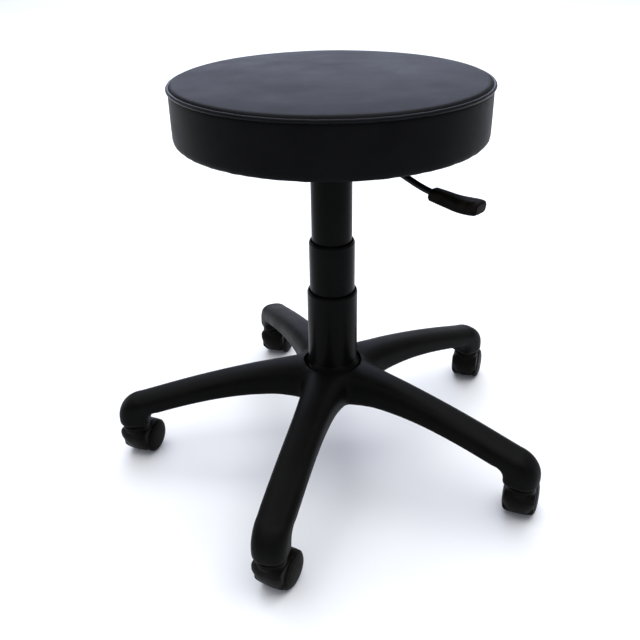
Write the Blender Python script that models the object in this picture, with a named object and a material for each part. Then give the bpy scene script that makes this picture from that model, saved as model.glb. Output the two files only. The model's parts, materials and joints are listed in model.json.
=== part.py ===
"""Adjustable swivel stool: padded disc seat, gas lift, five-arm star base and twin-wheel casters.

Metres, +Z up. The base stands on Z = 0 and the finished stool is centred over the origin, so the
gas lift's axis is a little off the origin: a five-arm star isn't symmetric about its own hub.
"""
import math

import bmesh
import bpy
from mathutils import Matrix, Vector

TAU = 2.0 * math.pi
GAP = 0.0003              # working gap between pieces that touch
OVERSHOOT = 0.010         # how far a cutting tool runs past the face that it cuts

# ---- seat ----
SEAT_RADIUS = 0.1965      # side band of the cushion
SEAT_UNDERSIDE = 0.4850   # height of the cushion's underside with the lift at its top stop
BAND_HEIGHT = 0.0615      # underside to the piping's centre
CROWN_HEIGHT = 0.0138     # piping's centre to the flat of the seat
SHOULDER_WIDTH = 0.044    # how far in from the band the top reaches its full height
BAND_EDGE_RADIUS = 0.008  # rounding at the foot of the band
HEM_WIDTH = 0.019         # cover turned in under the board
COVER_THICKNESS = 0.0012
PIPING_RADIUS = 0.0028
PIPING_PROUD = 0.0015
BOARD_THICKNESS = 0.012
BOARD_SETBACK = 0.002     # board's edge inside the foot of the band
DUST_COVER_THICKNESS = 0.001
CLOTH_CLEARANCE = 0.0018  # dust cover to the hem and to the mounting plate's corners
SEAT_STEPS = 36           # facets round every seat piece, so that nested facets stay apart

# ---- mounting plate under the seat ----
PLATE_HALF_WIDTH = 0.070
PAN_HALF_WIDTH = 0.0475
PAN_DEPTH = 0.033
PAN_DRAFT = 0.003         # pan's floor smaller than its mouth, each side
PLATE_THICKNESS = 0.0025
BOLT_OFFSET = 0.056       # bolts at (+-x, +-y) of the plate
BOLT_RADIUS = 0.003
BOLT_HEAD_RADIUS = 0.0055
BOLT_HEAD_HEIGHT = 0.0043
NUT_FLANGE_RADIUS = 0.009
NUT_FLANGE_THICKNESS = 0.001
NUT_BARREL_RADIUS = 0.0042
NUT_LENGTH = 0.009
SOCKET_RADIUS = 0.0185
SOCKET_DROP = 0.060       # socket's mouth below the seat's underside
SOCKET_RIM = 0.0055       # socket standing up inside the pan

# ---- gas lift ----
STROKE = 0.110
COLUMN_RADIUS = 0.014
COLUMN_TAPER = 0.0008     # top of the column over its length in the socket
COLUMN_WALL = 0.002
COLUMN_END = 0.005        # thickness of the column's bottom end
COLUMN_SEAL = 0.008       # seal stack between the column's end and the piston
COLUMN_STOP = 0.001       # column to the rod's collar with the seat right down
GROOVE_DROP = 0.0012      # clip's groove below the tube
TUBE_RADIUS = 0.025
TUBE_TAPER = 0.001        # the tube's foot is this much slimmer, and sits in the hub's taper
TUBE_WALL = 0.0022
TUBE_FLOOR = 0.003
TUBE_CHAMFER = 0.001
TUBE_FOOT_INSIDE = 0.022  # height over which the tube's inside widens above its floor
STOP_CLEARANCE = 0.015    # socket's mouth to the tube's top with the seat right down
ROD_RADIUS = 0.005
PISTON_RADIUS = 0.0112
PISTON_LENGTH = 0.008
BUSHING_LENGTH = 0.095
BEARING_RADIUS = 0.0126
BEARING_HEIGHT = 0.0065
COLLAR_RADIUS = 0.008     # rod's collar, which the bearing carries
COLLAR_HEIGHT = 0.0035
CLIP_RADIUS = 0.009
CLIP_THICKNESS = 0.0014
CLIP_GROOVE_DEPTH = 0.001
BUTTON_TRAVEL = 0.0055
BUTTON_RADIUS = 0.003
BUTTON_CAP_RADIUS = 0.0045
BUTTON_LENGTH = 0.018

# ---- telescopic cover ----
SLEEVE_WALL = 0.002
LOWER_SLEEVE_TOP = 0.271
MIDDLE_SLEEVE_SHOWS = 0.073
SLEEVE_OVERLAP = 0.013    # middle sleeve inside the lower one, with the seat at its top
UPPER_SLEEVE_HIDDEN = 0.0195
SLEEVE_TO_PAN = 0.002
SLEEVE_LIP = 0.0012       # how far a sleeve's top edge is turned in
SLEEVE_CLEARANCE = 0.0006  # lift tube to the upper sleeve
UPPER_SLEEVE_WALL = 0.0017
SLEEVE_STEP = 0.0037      # each sleeve's radius over the one inside it
MIDDLE_SLEEVE_EASE = 0.0001
FLARE_WIDTH = 0.0051      # foot of the lower sleeve over its side
SLEEVE_STEPS = 30

# ---- lever ----
LEVER_AZIMUTH = math.radians(-43.0)
LEVER_PIVOT_RADIUS = 0.044
LEVER_DROP = 0.0155       # rod's axis below the seat's underside
LEVER_FALL = 0.0278       # fall of the rod from its pivot to the handle
LEVER_HOLE_CLEARANCE = 0.0009
ROD_WIRE_RADIUS = 0.004
ROD_IN_HANDLE = 0.030
ROD_OVER_BUTTON = 0.006   # rod's inner end past the column's axis
BUSH_WALL = 0.0027
BUSH_LENGTH = 0.003
HANDLE_START = 0.152      # handle's root from the column's axis
HANDLE_LENGTH = 0.066
HANDLE_ROOT_WIDTH = 0.018
HANDLE_TIP_WIDTH = 0.025
HANDLE_THICKNESS = 0.016
HANDLE_RISE = 0.0013      # handle's middle line over the rod's

# ---- star base ----
ARM_COUNT = 5
FIRST_ARM = math.radians(180.0)
STEM_CIRCLE = 0.2965      # radius of the casters' stem circle
HUB_WALL = 0.0172         # hub's side round the sleeve's recess
RECESS_CLEARANCE = 0.001
RING_WIDTH = 0.0065       # steel ring pressed in round the tube's foot
RING_HEIGHT = 0.0062
BORE_BOSS_WALL = 0.005
HUB_BOTTOM = 0.099
TUBE_FOOT_SHOWS = 0.010   # lift tube below the hub
HUB_TOP = 0.157
HUB_RECESS = 0.150        # seat of the lower sleeve's flare
ARM_WIDTH = 0.046
ARM_ROOT_FLARE = 0.022
RIDGE_PROUD = 0.001       # ridge over the hub's rim where they meet
ARM_DROP = 0.052          # fall of the ridge from the hub to the knee
ARM_BOW = 1.42            # power of the ridge's fall: 1 is straight, more is bowed
ARM_DEPTH = 0.030
ARM_ROOT_DEPTH = 0.021    # extra depth at the hub
ARM_DEEPENING = 2.7       # power by which that extra depth fades along the arm
ARM_FLARING = 6           # power by which the root's flare fades along the arm
KNEE_SETBACK = 0.011      # where the ridge turns down, inside the stem circle
CROOK_SETBACK = 0.037     # where the underside turns down, inside the stem circle
BOSS_RADIUS = 0.0225
BOSS_FOOT = 0.012         # upright part of the boss above its mouth, on the outside
CROOK_FOOT = 0.008        # the same on the inside
CROOK_EASE = 0.0005       # keeps the rings apart round the crook
BOSS_MOUTH_EASE = 0.003   # rounding of the boss at its mouth
ARM_WALL = 0.004
POCKETS_PER_ARM = 3
ROOF_ARCH = 0.002         # extra wall over the flat of a pocket's roof
POCKET_EAVES = 0.008      # fall of a pocket's roof to its sides
POCKET_SETBACK = 0.014    # first and last pocket from the hub and the boss

# ---- casters ----
WHEEL_RADIUS = 0.025
WHEEL_INNER = 0.008       # wheel's inner face from the caster's middle plane
WHEEL_OUTER = 0.024
DISC_INNER = 0.0153       # where the full-size rim starts
DRUM_RADIUS = 0.0215      # narrow part of the wheel, under the hood
TRAIL = 0.019
TRAIL_DIRECTIONS = (67.0, 60.0, 67.0, 67.0, 67.0)   # where each caster points, in degrees
HOOD_OVER_WHEEL = 0.010
HOOD_COLLAR_RADIUS = 0.0195
HOOD_COLLAR_HEIGHT = 0.0088
HOOD_HALF_WIDTH = 0.0148
HOOD_WALL = 0.0027
WEB_HALF_WIDTH = 0.0076
WEB_DROP = 0.011          # web's lower edge under the axle
APRON_LIP = 0.0012        # apron's lip in front of the wheel
APRON_SWELL = 0.0112      # how much further the apron stands from the wheel at its top
APRON_LIP_ANGLE = 211.0   # places on the wheel, in degrees from its back
APRON_SWEEP = 54.0
WHEEL_CLEARANCE = 0.0004
AXLE_RADIUS = 0.003
AXLE_INSET = 0.004        # the axle's blind hole stops this far inside the wheel's face
STEM_RADIUS = 0.0055
STEM_FLANGE_RADIUS = 0.008
STEM_GAP = 0.002          # hood to boss
SPIGOT_RADIUS = 0.004
SPIGOT_LENGTH = 0.020
STEM_LENGTH = 0.034
GRIP_DEPTH = 0.0012       # groove of the grip ring
GRIP_LENGTH = 0.0032
GRIP_FROM_TOP = 0.0038

# ---- sizes that follow from the ones above ----
TUBE_FOOT_RADIUS = TUBE_RADIUS - TUBE_TAPER
UPPER_SLEEVE_RADIUS = TUBE_RADIUS + SLEEVE_CLEARANCE + UPPER_SLEEVE_WALL
MIDDLE_SLEEVE_RADIUS = UPPER_SLEEVE_RADIUS + SLEEVE_STEP + MIDDLE_SLEEVE_EASE
LOWER_SLEEVE_RADIUS = MIDDLE_SLEEVE_RADIUS + SLEEVE_STEP
FLARE_RADIUS = LOWER_SLEEVE_RADIUS + FLARE_WIDTH
RECESS_RADIUS = FLARE_RADIUS + RECESS_CLEARANCE
HUB_RADIUS = RECESS_RADIUS + HUB_WALL
RING_HOLE_RADIUS = TUBE_FOOT_RADIUS + 2.0 * GAP + RING_WIDTH
BORE_BOSS_RADIUS = RING_HOLE_RADIUS + BORE_BOSS_WALL
HOOD_TOP = 2.0 * WHEEL_RADIUS + HOOD_OVER_WHEEL
BOSS_BOTTOM = HOOD_TOP + STEM_GAP


def clear_scene() -> None:
    """Remove every object of the start-up scene."""
    for item in list(bpy.data.objects):
        bpy.data.objects.remove(item, do_unlink=True)


def material(name: str, colour: tuple, roughness: float, metallic: float = 0.0):
    """Make or reuse a plain Principled material."""
    found = bpy.data.materials.get(name)
    if found:
        return found
    made = bpy.data.materials.new(name)
    made.use_nodes = True
    shader = made.node_tree.nodes["Principled BSDF"]
    shader.inputs["Base Color"].default_value = (*colour, 1.0)
    shader.inputs["Roughness"].default_value = roughness
    shader.inputs["Metallic"].default_value = metallic
    made.diffuse_color = (*colour, 1.0)
    return made


def mesh_from(name: str, bm) -> bpy.types.Mesh:
    """Close a bmesh off: faces out, smooth with sharp edges kept."""
    bmesh.ops.recalc_face_normals(bm, faces=bm.faces)
    mesh = bpy.data.meshes.new(name)
    bm.to_mesh(mesh)
    bm.free()
    mesh.shade_smooth()
    mesh.set_sharp_from_angle(angle=math.radians(35.0))
    return mesh


def place(name: str, mesh, finish, parent, location=(0.0, 0.0, 0.0), turn=0.0):
    """Put one named sub-part into the scene under its parent."""
    item = bpy.data.objects.new(name, mesh)
    bpy.context.scene.collection.objects.link(item)
    item.parent = parent
    item.location = location
    item.rotation_euler = (0.0, 0.0, turn)
    if not mesh.materials:
        mesh.materials.append(finish)
    return item


def frame_at(name: str, parent, location=(0.0, 0.0, 0.0), turn=0.0):
    """Make an empty that carries a group of pieces."""
    item = bpy.data.objects.new(name, None)
    bpy.context.scene.collection.objects.link(item)
    item.parent = parent
    item.location = location
    item.rotation_euler = (0.0, 0.0, turn)
    return item


# ---- shapes ----

def lathe(name: str, outline: list, steps: int, sweep: float = TAU) -> bpy.types.Mesh:
    """Spin an (r, z) outline about Z. Its ends lie on the axis, or it is joined up as a ring."""
    bm = bmesh.new()
    points = [bm.verts.new((r, 0.0, z)) for r, z in outline]
    edges = [bm.edges.new(pair) for pair in zip(points, points[1:])]
    if outline[0][0] > 0.0:
        edges.append(bm.edges.new((points[-1], points[0])))
    whole = sweep >= TAU
    if not whole:
        start = bm.faces.new(points)
        edges.append(start)
    bmesh.ops.spin(bm, geom=points + edges, cent=(0, 0, 0), axis=(0, 0, 1),
                   angle=sweep, steps=steps, use_merge=whole)
    bmesh.ops.remove_doubles(bm, verts=bm.verts, dist=1e-6)
    return mesh_from(name, bm)


def loft(name: str, rings: list, joined: bool = False) -> bpy.types.Mesh:
    """Skin a row of rings with equal point counts; cap the ends, or join last to first."""
    bm = bmesh.new()
    rows = [[bm.verts.new(point) for point in ring] for ring in rings]
    pairs = list(zip(rows, rows[1:]))
    if joined:
        pairs.append((rows[-1], rows[0]))
    else:
        bm.faces.new(rows[0])
        bm.faces.new(rows[-1])
    for near, far in pairs:
        for i in range(len(near)):
            bm.faces.new((near[i - 1], near[i], far[i], far[i - 1]))
    return mesh_from(name, bm)


def slab(name: str, outline: list, half_width: float) -> bpy.types.Mesh:
    """Extrude an (x, z) outline along Y, from -half_width to +half_width."""
    rings = [[(x, side * half_width, z) for x, z in outline] for side in (-1.0, 1.0)]
    return loft(name, rings)


def rod_mesh(name: str, radius: float, low: float, high: float, steps: int) -> bpy.types.Mesh:
    """A plain round bar along Z."""
    return lathe(name, [(0.0, low), (radius, low), (radius, high), (0.0, high)], steps)


def arc(centre: tuple, radii: tuple, start: float, end: float, steps: int) -> list:
    """Points on an ellipse's arc in a plane, both ends included. Angles in degrees."""
    points = []
    for i in range(steps + 1):
        angle = math.radians(start + (end - start) * i / steps)
        points.append((centre[0] + radii[0] * math.cos(angle), centre[1] + radii[1] * math.sin(angle)))
    return points


def offset_outline(outline: list, distance: float) -> list:
    """Move an open outline sideways, to its left, with mitred corners."""
    moved = []
    last = len(outline) - 1
    for i, point in enumerate(outline):
        here = Vector(point)
        before = (here - Vector(outline[max(i - 1, 0)])).normalized() if i else None
        after = (Vector(outline[min(i + 1, last)]) - here).normalized() if i < last else None
        first = before or after
        second = after or before
        normal_a = Vector((-first.y, first.x))
        normal_b = Vector((-second.y, second.x))
        middle = (normal_a + normal_b).normalized()
        moved.append(tuple(here + middle * (distance / max(middle.dot(normal_a), 0.5))))
    return moved


def apply_boolean(item, tool_mesh, operation: str, where: Matrix = None) -> None:
    """Join or cut an object's mesh with a second mesh, and keep the result."""
    tool = bpy.data.objects.new("tool", tool_mesh)
    tool.matrix_world = where if where else Matrix.Identity(4)
    tool.display_type = "WIRE"
    tool.hide_render = True
    bpy.context.scene.collection.objects.link(tool)
    kept_parent, kept_basis = item.parent, item.matrix_basis.copy()
    item.parent = None
    item.matrix_basis = Matrix.Identity(4)
    step = item.modifiers.new(operation, "BOOLEAN")
    step.object = tool
    step.operation = operation
    step.solver = "EXACT"
    bpy.context.view_layer.update()
    graph = bpy.context.evaluated_depsgraph_get()
    result = bpy.data.meshes.new_from_object(item.evaluated_get(graph))
    item.modifiers.clear()
    finish = item.data.materials[0]
    item.data = result
    item.data.name = item.name
    item.data.materials.clear()
    item.data.materials.append(finish)
    item.data.shade_smooth()
    item.data.set_sharp_from_angle(angle=math.radians(35.0))
    item.parent = kept_parent
    item.matrix_basis = kept_basis
    bpy.data.objects.remove(tool, do_unlink=True)


# ---- seat ----

def cushion_outline(seat_radius: float, height_to_top: float, shoulder_foot: float) -> list:
    """Shoulder and flat of the cushion's top: a superellipse from the side in to the flat."""
    flat_radius = SEAT_RADIUS - SHOULDER_WIDTH
    rise = height_to_top - shoulder_foot
    power = 2.0 / 3.0
    points = []
    for i in range(5):
        angle = math.radians(90.0 * i / 4)
        points.append((flat_radius + (seat_radius - flat_radius) * math.cos(angle) ** power,
                       shoulder_foot + rise * math.sin(angle) ** power))
    return points


def build_seat(root, underside: float) -> None:
    """Cushion, cover, piping, board and dust cover, measured up from the cushion's underside."""
    vinyl = material("vinyl_black", (0.012, 0.012, 0.014), 0.45)
    foam_finish = material("foam_grey", (0.25, 0.25, 0.24), 0.95)
    wood = material("plywood_birch", (0.45, 0.30, 0.17), 0.6)
    felt = material("dust_cloth_black", (0.02, 0.02, 0.02), 0.95)
    frame = frame_at("seat_frame", root, (0.0, 0.0, underside))

    channel = PIPING_RADIUS + GAP
    piping_centre = SEAT_RADIUS + PIPING_PROUD - PIPING_RADIUS
    top = BAND_HEIGHT + CROWN_HEIGHT
    hem_radius = SEAT_RADIUS - BAND_EDGE_RADIUS - HEM_WIDTH
    outer = [(hem_radius, 0.0)]
    outer += arc((SEAT_RADIUS - BAND_EDGE_RADIUS, BAND_EDGE_RADIUS),
                 (BAND_EDGE_RADIUS, BAND_EDGE_RADIUS), -90.0, 0.0, 3)
    outer += arc((piping_centre, BAND_HEIGHT), (channel, channel), 270.0, 90.0, 4)
    outer += cushion_outline(piping_centre, top, BAND_HEIGHT + channel)[1:]
    outer.append((0.0, top))
    inner = offset_outline(outer, COVER_THICKNESS)
    inner[-1] = (0.0, top - COVER_THICKNESS)
    ring = [outer[-1]] + outer[-2::-1] + inner
    place("seat_cover", lathe("seat_cover", ring, SEAT_STEPS), vinyl, frame)

    piping = lathe("seat_piping", arc((piping_centre, BAND_HEIGHT), (PIPING_RADIUS, PIPING_RADIUS),
                                      0.0, 300.0, 5), SEAT_STEPS)
    place("seat_piping", piping, vinyl, frame)

    board_bottom = COVER_THICKNESS + GAP
    board_top = board_bottom + BOARD_THICKNESS
    board_radius = SEAT_RADIUS - BAND_EDGE_RADIUS - BOARD_SETBACK
    board = place("seat_board", rod_mesh("seat_board", board_radius, board_bottom, board_top,
                                         SEAT_STEPS),
                  wood, frame)
    nut_recess = NUT_FLANGE_THICKNESS + 2.0 * GAP
    for x, y in bolt_places():
        where = Matrix.Translation((x, y, 0.0))
        hole = lathe("hole", [(0.0, -OVERSHOOT), (NUT_BARREL_RADIUS + GAP, -OVERSHOOT),
                              (NUT_BARREL_RADIUS + GAP, board_top - nut_recess),
                              (NUT_FLANGE_RADIUS + GAP, board_top - nut_recess),
                              (NUT_FLANGE_RADIUS + GAP, board_top + OVERSHOOT),
                              (0.0, board_top + OVERSHOOT)], 12)
        apply_boolean(board, hole, "DIFFERENCE", where)

    foam_radius = piping_centre - channel - COVER_THICKNESS - 2.0 * GAP
    foam_top = top - COVER_THICKNESS - 2.0 * GAP
    foam = [(0.0, board_top + GAP), (foam_radius, board_top + GAP)]
    foam += cushion_outline(foam_radius, foam_top, BAND_HEIGHT + channel)
    foam.append((0.0, foam_top))
    place("seat_foam", lathe("seat_foam", foam, SEAT_STEPS), foam_finish, frame)

    cloth_hole = PLATE_HALF_WIDTH * 2.0 ** 0.5 + CLOTH_CLEARANCE
    cloth_edge = hem_radius - CLOTH_CLEARANCE
    cloth = [(cloth_hole, GAP), (cloth_edge, GAP), (cloth_edge, GAP + DUST_COVER_THICKNESS),
             (cloth_hole, GAP + DUST_COVER_THICKNESS)]
    place("dust_cover", lathe("dust_cover", cloth, SEAT_STEPS), felt, frame)


def bolt_places() -> list:
    """The four bolts' (x, y) in the seat's frame, turned with the mounting plate."""
    places = []
    for side_x, side_y in ((1, 1), (-1, 1), (-1, -1), (1, -1)):
        corner = Matrix.Rotation(LEVER_AZIMUTH, 2) @ Vector((side_x, side_y)) * BOLT_OFFSET
        places.append((corner.x, corner.y))
    return places


def rounded_square(half: float, z: float, count: int) -> list:
    """A ring of points on a square with soft corners, as a superellipse."""
    ring = []
    for i in range(count):
        angle = TAU * i / count
        reach = half / (abs(math.cos(angle)) ** 8 + abs(math.sin(angle)) ** 8) ** 0.125
        ring.append((reach * math.cos(angle), reach * math.sin(angle), z))
    return ring


def round_ring(radius: float, z: float, count: int) -> list:
    """A ring of points on a circle."""
    return [(radius * math.cos(TAU * i / count), radius * math.sin(TAU * i / count), z)
            for i in range(count)]


def build_plate(root, underside: float) -> None:
    """Pressed mounting plate with its socket, bolts and tee nuts."""
    enamel = material("black_enamel", (0.015, 0.015, 0.016), 0.4, 0.0)
    zinc = material("zinc_plate", (0.6, 0.6, 0.58), 0.35, 1.0)
    frame = frame_at("plate_frame", root, (0.0, 0.0, underside), LEVER_AZIMUTH)
    count = 32
    face = COVER_THICKNESS
    back = face - PLATE_THICKNESS
    floor_half = PAN_HALF_WIDTH - PAN_DRAFT
    hole = SOCKET_RADIUS + GAP
    rings = [round_ring(hole, PLATE_THICKNESS - PAN_DEPTH, count),
             rounded_square(floor_half - PLATE_THICKNESS, PLATE_THICKNESS - PAN_DEPTH, count),
             rounded_square(PAN_HALF_WIDTH - PLATE_THICKNESS, face, count),
             rounded_square(PLATE_HALF_WIDTH, face, count),
             rounded_square(PLATE_HALF_WIDTH, back, count),
             rounded_square(PAN_HALF_WIDTH, back, count),
             rounded_square(floor_half, -PAN_DEPTH, count),
             round_ring(hole, -PAN_DEPTH, count)]
    plate = place("mounting_plate", loft("mounting_plate", rings, joined=True), enamel, frame)
    bolt_hole = rod_mesh("bolt_hole", BOLT_RADIUS + 2.0 * GAP, -OVERSHOOT, OVERSHOOT, 12)
    for side_x, side_y in ((1, 1), (-1, 1), (-1, -1), (1, -1)):
        apply_boolean(plate, bolt_hole, "DIFFERENCE",
                      Matrix.Translation((side_x * BOLT_OFFSET, side_y * BOLT_OFFSET, 0.0)))
    lever_hole = rod_mesh("lever_hole", ROD_WIRE_RADIUS + LEVER_HOLE_CLEARANCE, -OVERSHOOT,
                          OVERSHOOT, 16)
    apply_boolean(plate, lever_hole, "DIFFERENCE",
                  Matrix.Translation((LEVER_PIVOT_RADIUS, 0.0, -LEVER_DROP))
                  @ Matrix.Rotation(math.radians(90.0), 4, "Y"))

    mouth = -SOCKET_DROP
    rim = PLATE_THICKNESS - PAN_DEPTH + SOCKET_RIM
    socket = [(COLUMN_RADIUS + GAP, mouth), (SOCKET_RADIUS, mouth), (SOCKET_RADIUS, rim),
              (COLUMN_RADIUS - COLUMN_TAPER + GAP, rim)]
    place("taper_socket", lathe("taper_socket", socket, 24), enamel, frame)

    head_top = back - GAP
    board_top = COVER_THICKNESS + GAP + BOARD_THICKNESS
    bolt = [(0.0, head_top - BOLT_HEAD_HEIGHT), (BOLT_HEAD_RADIUS, head_top - BOLT_HEAD_HEIGHT),
            (BOLT_HEAD_RADIUS, head_top), (BOLT_RADIUS, head_top), (BOLT_RADIUS, board_top - 2.0 * GAP),
            (0.0, board_top - 2.0 * GAP)]
    bolt_mesh = lathe("seat_bolt", bolt, 12)
    bore = BOLT_RADIUS + GAP
    nut_top = board_top - GAP
    nut = [(bore, nut_top - NUT_LENGTH), (NUT_BARREL_RADIUS, nut_top - NUT_LENGTH),
           (NUT_BARREL_RADIUS, nut_top - NUT_FLANGE_THICKNESS),
           (NUT_FLANGE_RADIUS, nut_top - NUT_FLANGE_THICKNESS), (NUT_FLANGE_RADIUS, nut_top),
           (bore, nut_top)]
    nut_mesh = lathe("tee_nut", nut, 12)
    for number, (side_x, side_y) in enumerate(((1, 1), (-1, 1), (-1, -1), (1, -1)), start=1):
        corner = (side_x * BOLT_OFFSET, side_y * BOLT_OFFSET, 0.0)
        place(f"seat_bolt_{number}", bolt_mesh, zinc, frame, corner)
        place(f"tee_nut_{number}", nut_mesh, zinc, frame, corner)


# ---- gas lift and its cover ----

def build_gas_lift(root, underside: float) -> None:
    """Outer tube, guide bushing, sliding column, piston rod, thrust bearing, clip and button."""
    enamel = material("black_enamel", (0.015, 0.015, 0.016), 0.4)
    chrome = material("chromed_steel", (0.55, 0.55, 0.56), 0.12, 1.0)
    steel = material("ground_steel", (0.5, 0.5, 0.5), 0.25, 1.0)
    acetal = material("white_acetal", (0.75, 0.74, 0.70), 0.4)
    frame = frame_at("lift_frame", root)

    tube_bottom = HUB_BOTTOM - TUBE_FOOT_SHOWS
    socket_mouth = underside - SOCKET_DROP
    tube_top = socket_mouth - STROKE - STOP_CLEARANCE
    inside = TUBE_RADIUS - TUBE_WALL
    floor = tube_bottom + TUBE_FLOOR
    tube = [(ROD_RADIUS + GAP, tube_bottom), (TUBE_FOOT_RADIUS - TUBE_CHAMFER, tube_bottom),
            (TUBE_FOOT_RADIUS, tube_bottom + TUBE_CHAMFER), (TUBE_RADIUS, HUB_RECESS),
            (TUBE_RADIUS, tube_top), (inside, tube_top), (inside, floor + TUBE_FOOT_INSIDE),
            (TUBE_FOOT_RADIUS - TUBE_WALL, floor), (ROD_RADIUS + GAP, floor)]
    place("outer_tube", lathe("outer_tube", tube, 24), enamel, frame)

    bush_outer = inside - GAP
    bush_inner = COLUMN_RADIUS + GAP
    bush_low = tube_top - BUSHING_LENGTH
    bush_high = tube_top - GAP
    bushing = [(bush_inner, bush_low), (bush_outer, bush_low), (bush_outer, bush_high),
               (bush_inner, bush_high)]
    place("guide_bushing", lathe("guide_bushing", bushing, 24), acetal, frame)

    bearing_low = floor + GAP
    bearing_high = bearing_low + BEARING_HEIGHT
    edge = BEARING_RADIUS - 2.0 * GAP
    race = BEARING_HEIGHT / 3.0
    bearing = [(ROD_RADIUS + GAP, bearing_low), (edge, bearing_low), (BEARING_RADIUS, bearing_low + race),
               (BEARING_RADIUS, bearing_high - race), (edge, bearing_high),
               (ROD_RADIUS + GAP, bearing_high)]
    place("thrust_bearing", lathe("thrust_bearing", bearing, 24), steel, frame)

    collar_low = bearing_high + GAP
    collar_high = collar_low + COLLAR_HEIGHT
    column_low = collar_high + COLUMN_STOP + STROKE
    piston_low = column_low + COLUMN_SEAL
    groove_high = tube_bottom - GROOVE_DROP
    groove_low = groove_high - CLIP_THICKNESS - 2.0 * GAP
    rod_end = groove_low - CLIP_THICKNESS
    groove = ROD_RADIUS - CLIP_GROOVE_DEPTH
    rod = [(0.0, rod_end), (ROD_RADIUS, rod_end), (ROD_RADIUS, groove_low),
           (groove, groove_low), (groove, groove_high), (ROD_RADIUS, groove_high),
           (ROD_RADIUS, collar_low), (COLLAR_RADIUS, collar_low), (COLLAR_RADIUS, collar_high),
           (ROD_RADIUS, collar_high), (ROD_RADIUS, piston_low), (PISTON_RADIUS, piston_low),
           (PISTON_RADIUS, piston_low + PISTON_LENGTH), (0.0, piston_low + PISTON_LENGTH)]
    place("piston_rod", lathe("piston_rod", rod, 16), chrome, frame)
    clip = [(groove + GAP, groove_low + GAP), (CLIP_RADIUS, groove_low + GAP),
            (CLIP_RADIUS, groove_high - GAP), (groove + GAP, groove_high - GAP)]
    place("retaining_clip", lathe("retaining_clip", clip, 12, math.radians(300.0)), steel, frame)

    column_top = underside - PAN_DEPTH + PLATE_THICKNESS + 2.0 * GAP
    chamber_top = piston_low + PISTON_LENGTH + STROKE + COLUMN_SEAL
    chamber = COLUMN_RADIUS - COLUMN_WALL
    bore = BUTTON_RADIUS + GAP
    bore_low = column_top - BUTTON_LENGTH
    column = [(ROD_RADIUS + GAP, column_low), (COLUMN_RADIUS, column_low),
              (COLUMN_RADIUS, socket_mouth), (COLUMN_RADIUS - COLUMN_TAPER, column_top),
              (bore, column_top), (bore, bore_low), (0.0, bore_low), (0.0, chamber_top),
              (chamber, chamber_top), (chamber, column_low + COLUMN_END),
              (ROD_RADIUS + GAP, column_low + COLUMN_END)]
    place("gas_column", column_mesh(column), chrome, frame)

    lever_underside = underside - LEVER_DROP - ROD_WIRE_RADIUS
    cap_top = lever_underside - GAP
    cap_low = column_top + BUTTON_TRAVEL + 2.0 * GAP
    shank_low = cap_low - BUTTON_LENGTH
    crown = BUTTON_CAP_RADIUS / 3.0
    button = [(0.0, shank_low), (BUTTON_RADIUS, shank_low), (BUTTON_RADIUS, cap_low),
              (BUTTON_CAP_RADIUS, cap_low), (BUTTON_CAP_RADIUS, cap_top - crown), (crown, cap_top),
              (0.0, cap_top)]
    place("release_button", lathe("release_button", button, 16), acetal, frame)


def column_mesh(outline: list) -> bpy.types.Mesh:
    """Spin the column's section: it touches the axis between the button bore and the chamber."""
    bm = bmesh.new()
    points = [bm.verts.new((r, 0.0, z)) for r, z in outline]
    edges = []
    for i, point in enumerate(points):
        after = points[(i + 1) % len(points)]
        if point.co.x > 0.0 or after.co.x > 0.0:
            edges.append(bm.edges.new((point, after)))
    bmesh.ops.spin(bm, geom=points + edges, cent=(0, 0, 0), axis=(0, 0, 1), angle=TAU, steps=24,
                   use_merge=True)
    bmesh.ops.remove_doubles(bm, verts=bm.verts, dist=1e-6)
    return mesh_from("gas_column", bm)


def sleeve_outline(outer: float, low: float, high: float, flare: float = 0.0) -> list:
    """A tube section whose top edge is turned in a little, with a flared foot if asked."""
    inner = outer - SLEEVE_WALL
    outline = [(inner, low)]
    if flare:
        outline += [(flare, low), (flare, low + 0.0025), (flare - 0.0015, low + 0.0045),
                    (outer + 0.0012, low + 0.0085), (outer, low + 0.013)]
    else:
        outline.append((outer, low))
    outline += [(outer, high - 2.5 * SLEEVE_LIP), (outer - SLEEVE_LIP, high), (inner, high)]
    return outline


def build_sleeves(root, underside: float) -> None:
    """Three telescopic cover sleeves, widest at the bottom."""
    plastic = material("moulded_plastic_black", (0.012, 0.012, 0.012), 0.3)
    frame = frame_at("sleeve_frame", root)
    middle_top = LOWER_SLEEVE_TOP + MIDDLE_SLEEVE_SHOWS
    lower = sleeve_outline(LOWER_SLEEVE_RADIUS, HUB_RECESS + GAP, LOWER_SLEEVE_TOP, FLARE_RADIUS)
    middle = sleeve_outline(MIDDLE_SLEEVE_RADIUS, LOWER_SLEEVE_TOP - SLEEVE_OVERLAP, middle_top)
    upper_top = underside - PAN_DEPTH - SLEEVE_TO_PAN
    upper_low = middle_top - UPPER_SLEEVE_HIDDEN
    upper_inner = TUBE_RADIUS + SLEEVE_CLEARANCE
    upper = [(upper_inner, upper_low), (UPPER_SLEEVE_RADIUS, upper_low),
             (UPPER_SLEEVE_RADIUS, upper_top), (upper_inner, upper_top)]
    place("lower_sleeve", lathe("lower_sleeve", lower, SLEEVE_STEPS), plastic, frame)
    place("middle_sleeve", lathe("middle_sleeve", middle, SLEEVE_STEPS), plastic, frame)
    place("upper_sleeve", lathe("upper_sleeve", upper, SLEEVE_STEPS), plastic, frame)


# ---- lever ----

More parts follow.
